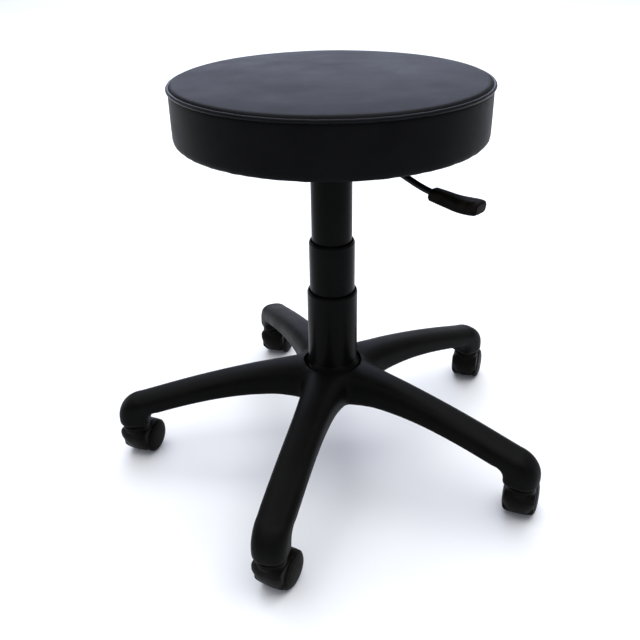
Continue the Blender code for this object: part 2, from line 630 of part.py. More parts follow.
def lever_route(reach: float) -> tuple:
    """The rod's middle line in the lever's plane: (distance from the pivot, rise) at a reach."""
    bend_start = 0.010
    bend_end = HANDLE_START - LEVER_PIVOT_RADIUS + 0.004
    drop = LEVER_FALL
    handle_slope = -0.125
    if reach <= bend_start:
        return reach, 0.0
    if reach >= bend_end:
        return reach, -drop + (reach - bend_end) * handle_slope
    along = (reach - bend_start) / (bend_end - bend_start)
    span = bend_end - bend_start
    ease = 3.0 * along ** 2 - 2.0 * along ** 3
    tail = (along ** 3 - along ** 2) * span * handle_slope
    return reach, -drop * ease + tail


def build_lever(root, underside: float) -> None:
    """Bent rod with its nylon bush and moulded paddle, about a pivot in the mounting plate's wall."""
    enamel = material("black_enamel", (0.015, 0.015, 0.016), 0.4)
    plastic = material("moulded_plastic_black", (0.012, 0.012, 0.012), 0.3)
    acetal = material("white_acetal", (0.75, 0.74, 0.70), 0.4)
    pivot = (LEVER_PIVOT_RADIUS * math.cos(LEVER_AZIMUTH), LEVER_PIVOT_RADIUS * math.sin(LEVER_AZIMUTH),
             underside - LEVER_DROP)
    frame = frame_at("lever_pivot", root, pivot, LEVER_AZIMUTH)

    handle_start = HANDLE_START - LEVER_PIVOT_RADIUS
    rod_end = handle_start + ROD_IN_HANDLE
    rings = []
    inner_end = -LEVER_PIVOT_RADIUS - ROD_OVER_BUTTON
    reaches = [inner_end, 0.0] + [0.010 + (rod_end - 0.010) * i / 14 for i in range(15)]
    for reach in reaches:
        x, z = lever_route(reach)
        x_after, z_after = lever_route(reach + 0.001)
        tangent = Vector((x_after - x, 0.0, z_after - z)).normalized()
        upward = Vector((-tangent.z, 0.0, tangent.x))
        rings.append([Vector((x, 0.0, z)) + upward * ROD_WIRE_RADIUS * math.sin(TAU * i / 10)
                      + Vector((0.0, ROD_WIRE_RADIUS * math.cos(TAU * i / 10), 0.0)) for i in range(10)])
    place("lever_rod", loft("lever_rod", rings), enamel, frame)

    slope = math.atan2(lever_route(rod_end + 0.001)[1] - lever_route(rod_end)[1], 0.001)
    start_x, start_z = lever_route(handle_start)
    stations = ((0.0, 0.0), (0.06, 0.35), (0.35, 0.45), (0.7, 0.95), (0.93, 1.0), (1.0, 0.85))
    rings = []
    for along, widening in stations:
        width = HANDLE_ROOT_WIDTH + (HANDLE_TIP_WIDTH - HANDLE_ROOT_WIDTH) * widening
        thick = HANDLE_THICKNESS * (0.85 if along in (0.0, 1.0) else 1.0)
        ring = []
        for i in range(12):
            angle = TAU * i / 12
            reach = 0.5 / (abs(math.cos(angle)) ** 4 + abs(math.sin(angle)) ** 4) ** 0.25
            ring.append(Vector((along * HANDLE_LENGTH, reach * math.cos(angle) * width,
                                reach * math.sin(angle) * thick + HANDLE_RISE)))
        rings.append(ring)
    place_handle = Matrix.Translation((start_x, 0.0, start_z)) @ Matrix.Rotation(-slope, 4, "Y")
    rings = [[place_handle @ point for point in ring] for ring in rings]
    handle = place("lever_handle", loft("lever_handle", rings), plastic, frame)
    socket = rod_mesh("rod_socket", ROD_WIRE_RADIUS + GAP, -OVERSHOOT, ROD_IN_HANDLE + 0.002, 12)
    apply_boolean(handle, socket, "DIFFERENCE", place_handle @ Matrix.Rotation(math.radians(90.0), 4, "Y"))

    bush_bore = ROD_WIRE_RADIUS + GAP
    bush_radius = bush_bore + BUSH_WALL
    bush_near = PAN_HALF_WIDTH - LEVER_PIVOT_RADIUS + 0.0007
    bush_far = bush_near + BUSH_LENGTH
    bush = lathe("lever_bush", [(bush_bore, bush_near), (bush_radius, bush_near),
                                (bush_radius, bush_far), (bush_bore, bush_far)], 12)
    bush.transform(Matrix.Rotation(math.radians(90.0), 4, "Y"))
    place("lever_bush", bush, acetal, frame)


# ---- star base ----

def arm_section(t_top: tuple, t_under: tuple, width: float, count: int) -> list:
    """One ring of an arm between its ridge and its underside: round on top, flatter below."""
    top = Vector((t_top[0], 0.0, t_top[1]))
    under = Vector((t_under[0], 0.0, t_under[1]))
    middle = (top + under) / 2.0
    upward = (top - under) / 2.0
    ring = []
    for i in range(count):
        angle = TAU * (i + 0.5) / count
        rise = math.sin(angle)
        across = math.cos(angle)
        square = 0.9 if rise > 0.0 else 0.45
        side = 0.75 if rise > 0.0 else 0.4
        ring.append(middle + upward * math.copysign(abs(rise) ** square, rise)
                    + Vector((0.0, math.copysign(abs(across) ** side, across) * width / 2.0, 0.0)))
    return ring


def ridge(radius: float) -> tuple:
    """Ridge height, depth and width of an arm at a distance from the column's axis."""
    root = HUB_RADIUS - 0.010
    knee = STEM_CIRCLE - KNEE_SETBACK
    along = min(max((radius - root) / (knee - root), 0.0), 1.0)
    top = HUB_TOP + RIDGE_PROUD - (ARM_DROP - RIDGE_PROUD) * along ** ARM_BOW
    depth = ARM_DEPTH + ARM_ROOT_DEPTH * (1.0 - along) ** ARM_DEEPENING
    width = ARM_WIDTH + ARM_ROOT_FLARE * (1.0 - along) ** ARM_FLARING
    return top, depth, width


def arm_rings(count: int) -> list:
    """Rings of one arm along +X, from inside the hub over the knee to the foot of the boss."""
    rings = []
    start = HUB_RADIUS / 3.0
    crook = STEM_CIRCLE - CROOK_SETBACK
    for i in range(8):
        radius = start + (crook - start) * i / 7
        top, depth, width = ridge(radius)
        rings.append(arm_section((radius, top), (radius, top - depth), width, count))
    knee = STEM_CIRCLE - KNEE_SETBACK
    knee_rise = ridge(knee)[0] - BOSS_BOTTOM - BOSS_FOOT
    crook_rise = ridge(crook)[0] - ARM_DEPTH - BOSS_BOTTOM - CROOK_FOOT
    outer_reach = STEM_CIRCLE + BOSS_RADIUS - knee
    inner_reach = STEM_CIRCLE - BOSS_RADIUS - crook
    for i in range(5):
        angle = math.radians(90.0 * i / 4)
        outer = (knee + outer_reach * math.sin(angle),
                 BOSS_BOTTOM + BOSS_FOOT + knee_rise * math.cos(angle))
        inner = (crook + inner_reach * math.sin(angle) + CROOK_EASE * i,
                 BOSS_BOTTOM + CROOK_FOOT + crook_rise * math.cos(angle))
        rings.append(arm_section(outer, inner, 2.0 * BOSS_RADIUS, count))
    for height, inset in ((BOSS_MOUTH_EASE + 0.001, 0.0), (0.0, BOSS_MOUTH_EASE)):
        outer = (STEM_CIRCLE + BOSS_RADIUS - inset, BOSS_BOTTOM + height)
        inner = (STEM_CIRCLE - BOSS_RADIUS + inset, BOSS_BOTTOM + height)
        rings.append(arm_section(outer, inner, 2.0 * (BOSS_RADIUS - inset), count))
    return rings


def pocket_rings(start: float, end: float) -> list:
    """Rings of one open pocket in an arm's underside."""
    rings = []
    for i in range(3):
        radius = start + (end - start) * i / 2
        top, depth, width = ridge(radius)
        half = width / 2.0 - ARM_WALL
        roof = top - ARM_WALL - ROOF_ARCH
        low = top - depth - OVERSHOOT
        eaves = roof - POCKET_EAVES
        rings.append([(radius, half, low), (radius, half, eaves), (radius, half / 2.0, roof),
                      (radius, -half / 2.0, roof), (radius, -half, eaves), (radius, -half, low)])
    return rings


def arm_angles() -> list:
    """Directions of the five arms."""
    return [FIRST_ARM + TAU * i / ARM_COUNT for i in range(ARM_COUNT)]


def build_star(root) -> None:
    """Five-arm base: hub, arms, pockets, stem sockets, and the ring pressed into the hub."""
    nylon = material("glass_nylon_black", (0.014, 0.014, 0.014), 0.5)
    steel = material("ground_steel", (0.5, 0.5, 0.5), 0.25, 1.0)
    frame = frame_at("base_frame", root)
    hub = [(0.0, HUB_BOTTOM), (BORE_BOSS_RADIUS, HUB_BOTTOM), (BORE_BOSS_RADIUS + 0.004, HUB_BOTTOM + 0.004),
           (HUB_RADIUS - 0.006, HUB_BOTTOM + 0.0095), (HUB_RADIUS, HUB_BOTTOM + 0.018),
           (HUB_RADIUS, HUB_TOP - 0.020), (HUB_RADIUS - 0.004, HUB_TOP - 0.009),
           (HUB_RADIUS - 0.012, HUB_TOP - 0.0015), (0.0, HUB_TOP + 0.004)]
    star = place("star_base", lathe("star_base", hub, 40), nylon, frame)
    arm = loft("arm", arm_rings(12))
    for angle in arm_angles():
        apply_boolean(star, arm, "UNION", Matrix.Rotation(angle, 4, "Z"))

    taper_low = RING_HOLE_RADIUS - RING_WIDTH
    taper_high = TUBE_RADIUS + GAP
    bore = [(0.0, HUB_BOTTOM - OVERSHOOT), (RING_HOLE_RADIUS, HUB_BOTTOM - OVERSHOOT),
            (RING_HOLE_RADIUS, HUB_BOTTOM + RING_HEIGHT), (taper_low, HUB_BOTTOM + RING_HEIGHT),
            (taper_high, HUB_RECESS), (RECESS_RADIUS, HUB_RECESS), (RECESS_RADIUS, HUB_TOP + OVERSHOOT),
            (0.0, HUB_TOP + OVERSHOOT)]
    apply_boolean(star, lathe("hub_bore", bore, 24), "DIFFERENCE")
    start = HUB_RADIUS + POCKET_SETBACK
    end = STEM_CIRCLE - BOSS_RADIUS - POCKET_SETBACK
    pitch = (end - start) / POCKETS_PER_ARM
    pockets = [loft("pocket", pocket_rings(start + pitch * i, start + pitch * (i + 1) - ARM_WALL))
               for i in range(POCKETS_PER_ARM)]
    socket = rod_mesh("stem_socket", STEM_RADIUS + GAP, BOSS_BOTTOM - OVERSHOOT,
                      HOOD_TOP + STEM_LENGTH + STEM_GAP, 12)
    for angle in arm_angles():
        turn = Matrix.Rotation(angle, 4, "Z")
        for pocket in pockets:
            apply_boolean(star, pocket, "DIFFERENCE", turn)
        apply_boolean(star, socket, "DIFFERENCE", turn @ Matrix.Translation((STEM_CIRCLE, 0.0, 0.0)))
    ring_low = HUB_BOTTOM + GAP
    ring_high = HUB_BOTTOM + RING_HEIGHT - GAP
    ring = [(taper_low + GAP, ring_low), (RING_HOLE_RADIUS - GAP, ring_low),
            (RING_HOLE_RADIUS - GAP, ring_high), (taper_low + GAP, ring_high)]
    place("hub_ring", lathe("hub_ring", ring, 24), steel, frame)


# ---- casters ----

def hood_outline() -> list:
    """Side view of the caster's hood: front apron, the arch over the wheels, open at the back."""
    arch = WHEEL_RADIUS + WHEEL_CLEARANCE
    foot = HOOD_TOP - HOOD_COLLAR_HEIGHT
    apron = [(-HOOD_COLLAR_RADIUS, foot - 0.001)]
    for i in range(4):
        from_lip = 1.0 - i / 3.0
        angle = math.radians(APRON_LIP_ANGLE - APRON_SWEEP * from_lip)
        reach = WHEEL_RADIUS + APRON_LIP + APRON_SWELL * from_lip ** 2
        apron.append((TRAIL + reach * math.cos(angle), WHEEL_RADIUS + reach * math.sin(angle)))
    inside = WHEEL_RADIUS - HOOD_WALL
    lip = math.radians(APRON_LIP_ANGLE + 4.0)
    inner_front = [(TRAIL + inside * math.cos(lip), WHEEL_RADIUS + inside * math.sin(lip))]
    web_low = WHEEL_RADIUS - WEB_DROP
    under = [(TRAIL - WEB_DROP, web_low), (TRAIL + WEB_DROP / 2.0, web_low)]
    back = arc((TRAIL, WHEEL_RADIUS), (arch, arch), 0.0, 84.0, 6)
    top = [(HOOD_COLLAR_RADIUS - 0.001, foot + 0.001)]
    shoulder = [(-HOOD_COLLAR_RADIUS, foot + 0.001)]
    return inner_front + under + back + top + shoulder + apron


def wheel_outline(side: float) -> list:
    """Half section of one wheel as (radius, distance along the axle)."""
    bore = AXLE_RADIUS + GAP
    outline = [(0.0, WHEEL_OUTER - AXLE_INSET), (bore, WHEEL_OUTER - AXLE_INSET), (bore, WHEEL_INNER),
               (DRUM_RADIUS, WHEEL_INNER), (DRUM_RADIUS, DISC_INNER), (WHEEL_RADIUS, DISC_INNER),
               (WHEEL_RADIUS, DISC_INNER + 0.0042),
               (WHEEL_RADIUS - 0.0035, WHEEL_OUTER - 0.0018), (WHEEL_RADIUS * 0.5, WHEEL_OUTER - 0.0002),
               (0.0, WHEEL_OUTER)]
    return [(radius, side * along) for radius, along in outline]


def build_casters(root) -> None:
    """Five twin-wheel casters, each swivelling about its stem."""
    zinc = material("zinc_plate", (0.6, 0.6, 0.58), 0.35, 1.0)
    steel = material("ground_steel", (0.5, 0.5, 0.5), 0.25, 1.0)
    hood_finish = material("caster_nylon_black", (0.017, 0.016, 0.015), 0.4)
    wheel_finish = material("wheel_nylon_black", (0.017, 0.016, 0.015), 0.45)

    collar = HOOD_TOP + GAP
    spigot_low = HOOD_TOP - SPIGOT_LENGTH
    stem_top = HOOD_TOP + STEM_LENGTH
    groove = STEM_RADIUS - GRIP_DEPTH
    groove_high = stem_top - GRIP_FROM_TOP
    groove_low = groove_high - GRIP_LENGTH
    stem = [(0.0, spigot_low), (SPIGOT_RADIUS, spigot_low), (SPIGOT_RADIUS, collar),
            (STEM_FLANGE_RADIUS, collar), (STEM_FLANGE_RADIUS, BOSS_BOTTOM - GAP),
            (STEM_RADIUS, BOSS_BOTTOM - GAP), (STEM_RADIUS, groove_low), (groove, groove_low),
            (groove, groove_high), (STEM_RADIUS, groove_high), (STEM_RADIUS - 0.001, stem_top),
            (0.0, stem_top)]
    stem_mesh = lathe("caster_stem", stem, 10)
    ring = [(groove + GAP, groove_low + GAP), (STEM_RADIUS, groove_low + GAP),
            (STEM_RADIUS, groove_high - GAP), (groove + GAP, groove_high - GAP)]
    ring_mesh = lathe("grip_ring", ring, 8, math.radians(300.0))
    axle_end = WHEEL_OUTER - AXLE_INSET - GAP
    axle_mesh = rod_mesh("caster_axle", AXLE_RADIUS, -axle_end, axle_end, 12)
    axle_mesh.transform(Matrix.Rotation(math.radians(90.0), 4, "X"))
    wheel_meshes = {}
    for side_name, side in (("left", 1.0), ("right", -1.0)):
        wheel = lathe(f"wheel_{side_name}", wheel_outline(side), 20)
        wheel.transform(Matrix.Rotation(math.radians(-90.0), 4, "X"))
        wheel_meshes[side_name] = wheel

    hood = place("hood_pattern", slab("caster_hood", hood_outline(), HOOD_HALF_WIDTH), hood_finish, None)
    top = [(0.0, HOOD_TOP - HOOD_COLLAR_HEIGHT), (HOOD_COLLAR_RADIUS, HOOD_TOP - HOOD_COLLAR_HEIGHT),
           (HOOD_COLLAR_RADIUS, HOOD_TOP - 0.0015), (HOOD_COLLAR_RADIUS - 0.0015, HOOD_TOP),
           (0.0, HOOD_TOP)]
    apply_boolean(hood, lathe("collar", top, 24), "UNION")
    hollow = rod_mesh("wheel_hollow", WHEEL_RADIUS + WHEEL_CLEARANCE - HOOD_WALL, WEB_HALF_WIDTH,
                      HOOD_HALF_WIDTH + OVERSHOOT, 20)
    axle_place = Matrix.Translation((TRAIL, 0.0, WHEEL_RADIUS))
    for quarter in (90.0, -90.0):
        where = axle_place @ Matrix.Rotation(math.radians(quarter), 4, "X")
        apply_boolean(hood, hollow, "DIFFERENCE", where)
    axle_hole = rod_mesh("axle_hole", AXLE_RADIUS + GAP, -WHEEL_OUTER, WHEEL_OUTER, 12)
    apply_boolean(hood, axle_hole, "DIFFERENCE",
                  axle_place @ Matrix.Rotation(math.radians(90.0), 4, "X"))
    spigot_hole = rod_mesh("spigot_hole", SPIGOT_RADIUS + GAP, spigot_low - GAP, HOOD_TOP + OVERSHOOT, 12)
    apply_boolean(hood, spigot_hole, "DIFFERENCE")
    hood_mesh = hood.data
    hood_mesh.name = "caster_hood"
    bpy.data.objects.remove(hood, do_unlink=True)

    for number, angle in enumerate(arm_angles(), start=1):
        place_at = (STEM_CIRCLE * math.cos(angle), STEM_CIRCLE * math.sin(angle), 0.0)
        turn = math.radians(TRAIL_DIRECTIONS[number - 1])
        swivel = frame_at(f"swivel_{number}", root, place_at, turn)
        place(f"caster_stem_{number}", stem_mesh, zinc, swivel)
        place(f"grip_ring_{number}", ring_mesh, steel, swivel)
        place(f"caster_hood_{number}", hood_mesh, hood_finish, swivel)
        hub = frame_at(f"wheel_axis_{number}", swivel, (TRAIL, 0.0, WHEEL_RADIUS))
        place(f"caster_axle_{number}", axle_mesh, steel, hub)
        for side_name, wheel in wheel_meshes.items():
            place(f"wheel_{side_name}_{number}", wheel, wheel_finish, hub)


def centre_over_origin(root) -> None:
    """Move the whole stool so that its box's bottom centre is the origin."""
    bpy.context.view_layer.update()
    corners = [item.matrix_world @ vertex.co for item in bpy.data.objects if item.type == "MESH"
               for vertex in item.data.vertices]
    low = [min(point[axis] for point in corners) for axis in range(3)]
    high = [max(point[axis] for point in corners) for axis in range(3)]
    root.location = (-(low[0] + high[0]) / 2.0, -(low[1] + high[1]) / 2.0, -low[2])
    bpy.context.view_layer.update()


def build_stool() -> None:
    """Build every assembly about the column's axis, then centre the stool."""
    clear_scene()
    root = frame_at("stool", None)
    build_star(root)
    build_casters(root)
    build_gas_lift(root, SEAT_UNDERSIDE)
    build_sleeves(root, SEAT_UNDERSIDE)
    build_plate(root, SEAT_UNDERSIDE)
    build_lever(root, SEAT_UNDERSIDE)
    build_seat(root, SEAT_UNDERSIDE)
    centre_over_origin(root)


build_stool()
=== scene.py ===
"""Padded swivel stool: fine surfaces, finishes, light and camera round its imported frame.

Everything is in metres, in the frame's own coordinates. A piece takes its place from the box of
the solid that it dresses or stands for. A size that no box tells is a field of the piece's class.
"""
import json
import logging
import math
from dataclasses import dataclass
from enum import Enum
from typing import Callable, Sequence

import bmesh
import bpy
import numpy as np
from mathutils import Matrix, Vector
from mathutils.bvhtree import BVHTree


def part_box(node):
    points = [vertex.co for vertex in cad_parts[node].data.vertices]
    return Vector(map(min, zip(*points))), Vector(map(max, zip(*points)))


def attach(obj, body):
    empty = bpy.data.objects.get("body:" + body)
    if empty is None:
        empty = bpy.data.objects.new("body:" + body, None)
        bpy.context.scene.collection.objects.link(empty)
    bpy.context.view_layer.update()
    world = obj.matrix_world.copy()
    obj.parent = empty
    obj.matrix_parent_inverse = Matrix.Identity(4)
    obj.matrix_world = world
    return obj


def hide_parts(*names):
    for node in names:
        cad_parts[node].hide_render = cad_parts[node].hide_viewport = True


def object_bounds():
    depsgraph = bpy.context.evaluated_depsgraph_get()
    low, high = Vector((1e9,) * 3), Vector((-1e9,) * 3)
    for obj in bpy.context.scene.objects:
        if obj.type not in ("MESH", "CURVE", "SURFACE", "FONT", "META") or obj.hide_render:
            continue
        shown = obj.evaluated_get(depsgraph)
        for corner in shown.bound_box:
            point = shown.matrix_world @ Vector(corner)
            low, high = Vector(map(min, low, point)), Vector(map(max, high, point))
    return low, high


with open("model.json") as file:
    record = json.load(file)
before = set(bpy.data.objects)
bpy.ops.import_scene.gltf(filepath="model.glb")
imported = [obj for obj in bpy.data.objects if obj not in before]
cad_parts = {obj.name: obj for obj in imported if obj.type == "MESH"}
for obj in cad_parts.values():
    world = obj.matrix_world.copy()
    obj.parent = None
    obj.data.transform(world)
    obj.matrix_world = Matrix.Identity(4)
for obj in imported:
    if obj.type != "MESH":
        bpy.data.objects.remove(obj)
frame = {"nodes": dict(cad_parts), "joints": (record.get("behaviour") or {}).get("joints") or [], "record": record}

CAD_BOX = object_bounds()
TAU = 2.0 * math.pi
MM = 0.001
CASTER_COUNT = 5
WELD = 1e-7    # points closer than this are one
log = logging.getLogger("stool")


# ---- small tools -----------------------------------------------------------------------------

def linear(code: str) -> tuple[float, float, float, float]:
    """Turn an sRGB hex colour into the linear one that shaders take.

    Args:
        code: colour such as "#1A2B3C".

    Returns:
        Linear red, green, blue and an alpha of 1.
    """
    channels = [int(code[i:i + 2], 16) / 255.0 for i in (1, 3, 5)]
    red, green, blue = (c / 12.92 if c <= 0.04045 else ((c + 0.055) / 1.055) ** 2.4 for c in channels)
    return red, green, blue, 1.0


def add_node(tree: bpy.types.NodeTree, kind: str, sockets: dict, **settings) -> bpy.types.Node:
    """Add one node to a node tree with its settings and links.

    Args:
        tree: the tree that takes the node.
        kind: Blender's name for the node.
        sockets: input name or number to a value, or to the output socket that feeds it.
        settings: properties of the node itself.

    Returns:
        The new node.
    """
    node = tree.nodes.new(kind)
    for name, value in settings.items():
        setattr(node, name, value)
    for socket, value in sockets.items():
        if isinstance(value, bpy.types.NodeSocket):
            tree.links.new(value, node.inputs[socket])
        else:
            node.inputs[socket].default_value = value
    return node


def middle(node: str) -> Vector:
    """Give the middle of a frame solid's box."""
    low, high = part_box(node)
    return (low + high) / 2.0


def half_width(node: str) -> float:
    """Give half the width along X of a frame solid's box."""
    low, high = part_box(node)
    return (high.x - low.x) / 2.0


def smooth_step(value: np.ndarray | float, low: float, high: float) -> np.ndarray | float:
    """Ease from 0 at low to 1 at high."""
    along = np.clip((value - low) / (high - low), 0.0, 1.0)
    return along * along * (3.0 - 2.0 * along)


def column_place() -> Matrix:
    """Give the frame of the gas lift's axis, standing on the floor."""
    axis = middle("outer_tube")
    return Matrix.Translation((axis.x, axis.y, 0.0))


# ---- outlines and meshes ---------------------------------------------------------------------

def arc(centre: Sequence[float], radius: float, start: float, end: float, steps: int) -> list:
    """List points on a circle's arc, both ends included, with angles in degrees."""
    angles = [math.radians(start + (end - start) * i / steps) for i in range(steps + 1)]
    return [(centre[0] + radius * math.cos(a), centre[1] + radius * math.sin(a)) for a in angles]


def rounded(corners: Sequence[Sequence[float]], closed: bool = True, steps: int = 5) -> list:
    """Round the corners of an outline.

    Args:
        corners: (x, y, radius) for each corner; a radius of 0 keeps it sharp.
        closed: whether the last corner joins the first.
        steps: segments in each rounding.

    Returns:
        The outline's points as (x, y).
    """
    points = []
    count = len(corners)
    for i, (x, y, radius) in enumerate(corners):
        here = Vector((x, y))
        if radius <= 0.0 or (not closed and i in (0, count - 1)):
            points.append((x, y))
            continue
        back = Vector(corners[i - 1][:2]) - here
        ahead = Vector(corners[(i + 1) % count][:2]) - here
        half = back.angle(ahead) / 2.0
        reach = min(radius / math.tan(half), 0.48 * back.length, 0.48 * ahead.length)
        radius = reach * math.tan(half)
        centre = here + (back.normalized() + ahead.normalized()).normalized() * (radius / math.sin(half))
        first = here + back.normalized() * reach - centre
        last = here + ahead.normalized() * reach - centre
        for k in range(steps + 1):
            spoke = first.lerp(last, k / steps).normalized() * radius
            points.append(tuple(centre + spoke))
    return points


def grid_mesh(name: str, rows: np.ndarray, wrap_rows: bool, wrap_columns: bool = True,
              caps: bool = False) -> bpy.types.Mesh:
    """Skin a grid of points with quads, facing out.

    Args:
        name: the mesh's name.
        rows: points as an array of rows by columns by 3.
        wrap_rows: join the last row to the first.
        wrap_columns: join the last column to the first.
        caps: close the first and the last row with a face.

    Returns:
        The mesh, shaded smooth.
    """
    row_count, column_count = rows.shape[:2]
    index = np.arange(row_count * column_count).reshape(row_count, column_count)
    row_steps = row_count if wrap_rows else row_count - 1
    column_steps = column_count if wrap_columns else column_count - 1
    faces = []
    for i in range(row_steps):
        near, far = index[i], index[(i + 1) % row_count]
        for j in range(column_steps):
            k = (j + 1) % column_count
            faces.append((int(near[j]), int(near[k]), int(far[k]), int(far[j])))
    if caps:
        faces.append(tuple(int(v) for v in index[0][::-1]))
        faces.append(tuple(int(v) for v in index[-1]))
    mesh = bpy.data.meshes.new(name)
    mesh.from_pydata([tuple(p) for p in rows.reshape(-1, 3)], [], faces)
    return tidy_mesh(mesh)


def tidy_mesh(mesh: bpy.types.Mesh, sharp_angle: float = 38.0) -> bpy.types.Mesh:
    """Weld doubled points, turn the faces out and shade smooth between sharp edges."""
    bm = bmesh.new()
    bm.from_mesh(mesh)
    bmesh.ops.remove_doubles(bm, verts=bm.verts, dist=WELD)
    bmesh.ops.dissolve_degenerate(bm, edges=bm.edges, dist=WELD)
    bmesh.ops.recalc_face_normals(bm, faces=bm.faces)
    bm.to_mesh(mesh)
    bm.free()
    mesh.shade_smooth()
    mesh.set_sharp_from_angle(angle=math.radians(sharp_angle))
    return mesh


def lathe(name: str, outline: Sequence[Sequence[float]], steps: int) -> bpy.types.Mesh:
    """Turn an (r, z) outline about Z; it closes on itself unless its ends lie on the axis."""
    angles = np.arange(steps) * TAU / steps
    points = np.array(outline, float)
    rows = np.stack([points[:, :1] * np.cos(angles), points[:, :1] * np.sin(angles),
                     np.repeat(points[:, 1:], steps, axis=1)], axis=2)
    return grid_mesh(name, rows, wrap_rows=outline[0][0] > 0.0)


def sweep(name: str, path: Sequence[Vector], section: Callable[[float], list],
          side: Vector = Vector((0.0, 1.0, 0.0))) -> bpy.types.Mesh:
    """Run a section along a path.

    Args:
        name: the mesh's name.
        path: the points of the middle line.
        section: gives the (across, up) points at a share of the path.
        side: direction of across; up is square to it and to the path.

    Returns:
        A closed mesh with capped ends.
    """
    rows = []
    last = len(path) - 1
    for i, point in enumerate(path):
        tangent = (path[min(i + 1, last)] - path[max(i - 1, 0)]).normalized()
        upward = tangent.cross(side).normalized() * -1.0
        across = upward.cross(tangent).normalized() * -1.0
        rows.append([point + across * a + upward * u for a, u in section(i / last)])
    return grid_mesh(name, np.array(rows, float), wrap_rows=False, caps=True)


def superellipse(half_across: float, half_up: float, power: float, count: int) -> list:
    """List points on a superellipse; a power of 2 is an ellipse, more is squarer."""
    points = []
    for i in range(count):
        a = TAU * (i + 0.5) / count
        reach = (abs(math.cos(a)) ** power + abs(math.sin(a)) ** power) ** (-1.0 / power)
        points.append((half_across * reach * math.cos(a), half_up * reach * math.sin(a)))
    return points


def joined(name: str, meshes: Sequence[bpy.types.Mesh], places: Sequence[Matrix]) -> bpy.types.Mesh:
    """Put copies of meshes at their places into one mesh."""
    bm = bmesh.new()
    for mesh, place in zip(meshes, places):
        copy = mesh.copy()
        copy.transform(place)
        bm.from_mesh(copy)
        bpy.data.meshes.remove(copy)
    made = bpy.data.meshes.new(name)
    bm.to_mesh(made)
    bm.free()
    return made


def with_modifiers(mesh: bpy.types.Mesh, *steps: tuple[str, dict],
                   weights: np.ndarray | None = None) -> bpy.types.Mesh:
    """Run a mesh through modifiers and keep the result.

    Args:
        mesh: the mesh to start from.
        steps: each modifier's type and its settings.
        weights: if given, a weight per point, as the vertex group "share".

    Returns:
        The new mesh.
    """
    item = bpy.data.objects.new("working", mesh)
    bpy.context.scene.collection.objects.link(item)
    if weights is not None:
        group = item.vertex_groups.new(name="share")
        levels = np.round(weights, 2)
        for level in np.unique(levels[levels > 0.0]):
            group.add([int(i) for i in np.nonzero(levels == level)[0]], float(level), "REPLACE")
    for kind, settings in steps:
        step = item.modifiers.new(kind.lower(), kind)
        for name, value in settings.items():
            setattr(step, name, value)
    bpy.context.view_layer.update()
    graph = bpy.context.evaluated_depsgraph_get()
    made = bpy.data.meshes.new_from_object(item.evaluated_get(graph))
    made.name = mesh.name
    bpy.data.objects.remove(item)
    return made


def cut(mesh: bpy.types.Mesh, tool_mesh: bpy.types.Mesh) -> bpy.types.Mesh:
    """Cut one closed mesh away from another."""
    tool = bpy.data.objects.new("cutter", tool_mesh)
    bpy.context.scene.collection.objects.link(tool)
    settings = {"object": tool, "operation": "DIFFERENCE", "solver": "MANIFOLD"}
    made = with_modifiers(mesh, ("BOOLEAN", settings))
    bpy.data.objects.remove(tool)
    return made


def points_of(mesh: bpy.types.Mesh) -> np.ndarray:
    """Read a mesh's points as an array of rows of three."""
    flat = np.zeros(len(mesh.vertices) * 3)
    mesh.vertices.foreach_get("co", flat)
    return flat.reshape(-1, 3)


# ---- finishes --------------------------------------------------------------------------------

class Pattern(Enum):
    """Shapes of fine relief: (how far it is drawn out along X, Y and Z, detail, distortion)."""

    SPARK = ((1.0, 1.0, 1.0), 3.0, 0.0)      # spark-eroded mould
    PEEL = ((1.0, 1.0, 1.0), 0.0, 0.4)       # orange peel of a baked coat
    DRAWN = ((1.0, 1.0, 30.0), 2.0, 0.0)     # streaks along a mould's draw
    TURNED = ((40.0, 40.0, 1.0), 2.0, 0.0)   # rings about Z from a lathe or a grinder
    ROLLED = ((25.0, 1.0, 25.0), 2.0, 0.0)   # rings about Y, worn by rolling
    FIBRE = ((1.0, 1.0, 1.0), 5.0, 2.2)      # loose fibres pressed together
    TIMBER = ((14.0, 1.0, 1.0), 3.0, 0.6)    # open grain along X
    PEBBLE = ((1.0, 1.0, 1.0), 0.0, 0.0)     # embossed hide, drawn as cells


@dataclass(frozen=True)
class Relief:
    """One layer of fine relief: its shape, the size of its grains and its depth, in millimetres."""

    pattern: Pattern
    size: float
    depth: float

    def height(self, tree: bpy.types.NodeTree, place: bpy.types.NodeSocket) -> bpy.types.NodeSocket:
        """Build the nodes that give this layer's height.

        Args:
            tree: the material's node tree.
            place: the coordinates to read.

        Returns:
            The socket that carries the height, from 0 to 1.
        """
        drawn_out, detail, distortion = self.pattern.value
        scale = tuple(1.0 / (self.size * MM * stretch) for stretch in drawn_out)
        mapped = add_node(tree, "ShaderNodeMapping", {"Vector": place, "Scale": scale})
        if self.pattern is not Pattern.PEBBLE:
            grain = add_node(tree, "ShaderNodeTexNoise",
                             {"Vector": mapped.outputs[0], "Scale": 1.0, "Detail": detail,
                              "Roughness": 0.6, "Distortion": distortion})
            return grain.outputs[0]
        cells = add_node(tree, "ShaderNodeTexVoronoi", {"Vector": mapped.outputs[0], "Scale": 1.0},
                         feature="DISTANCE_TO_EDGE")
        return add_node(tree, "ShaderNodeMapRange",
                        {"Value": cells.outputs["Distance"], "From Max": 0.22},
                        interpolation_type="SMOOTHSTEP").outputs[0]


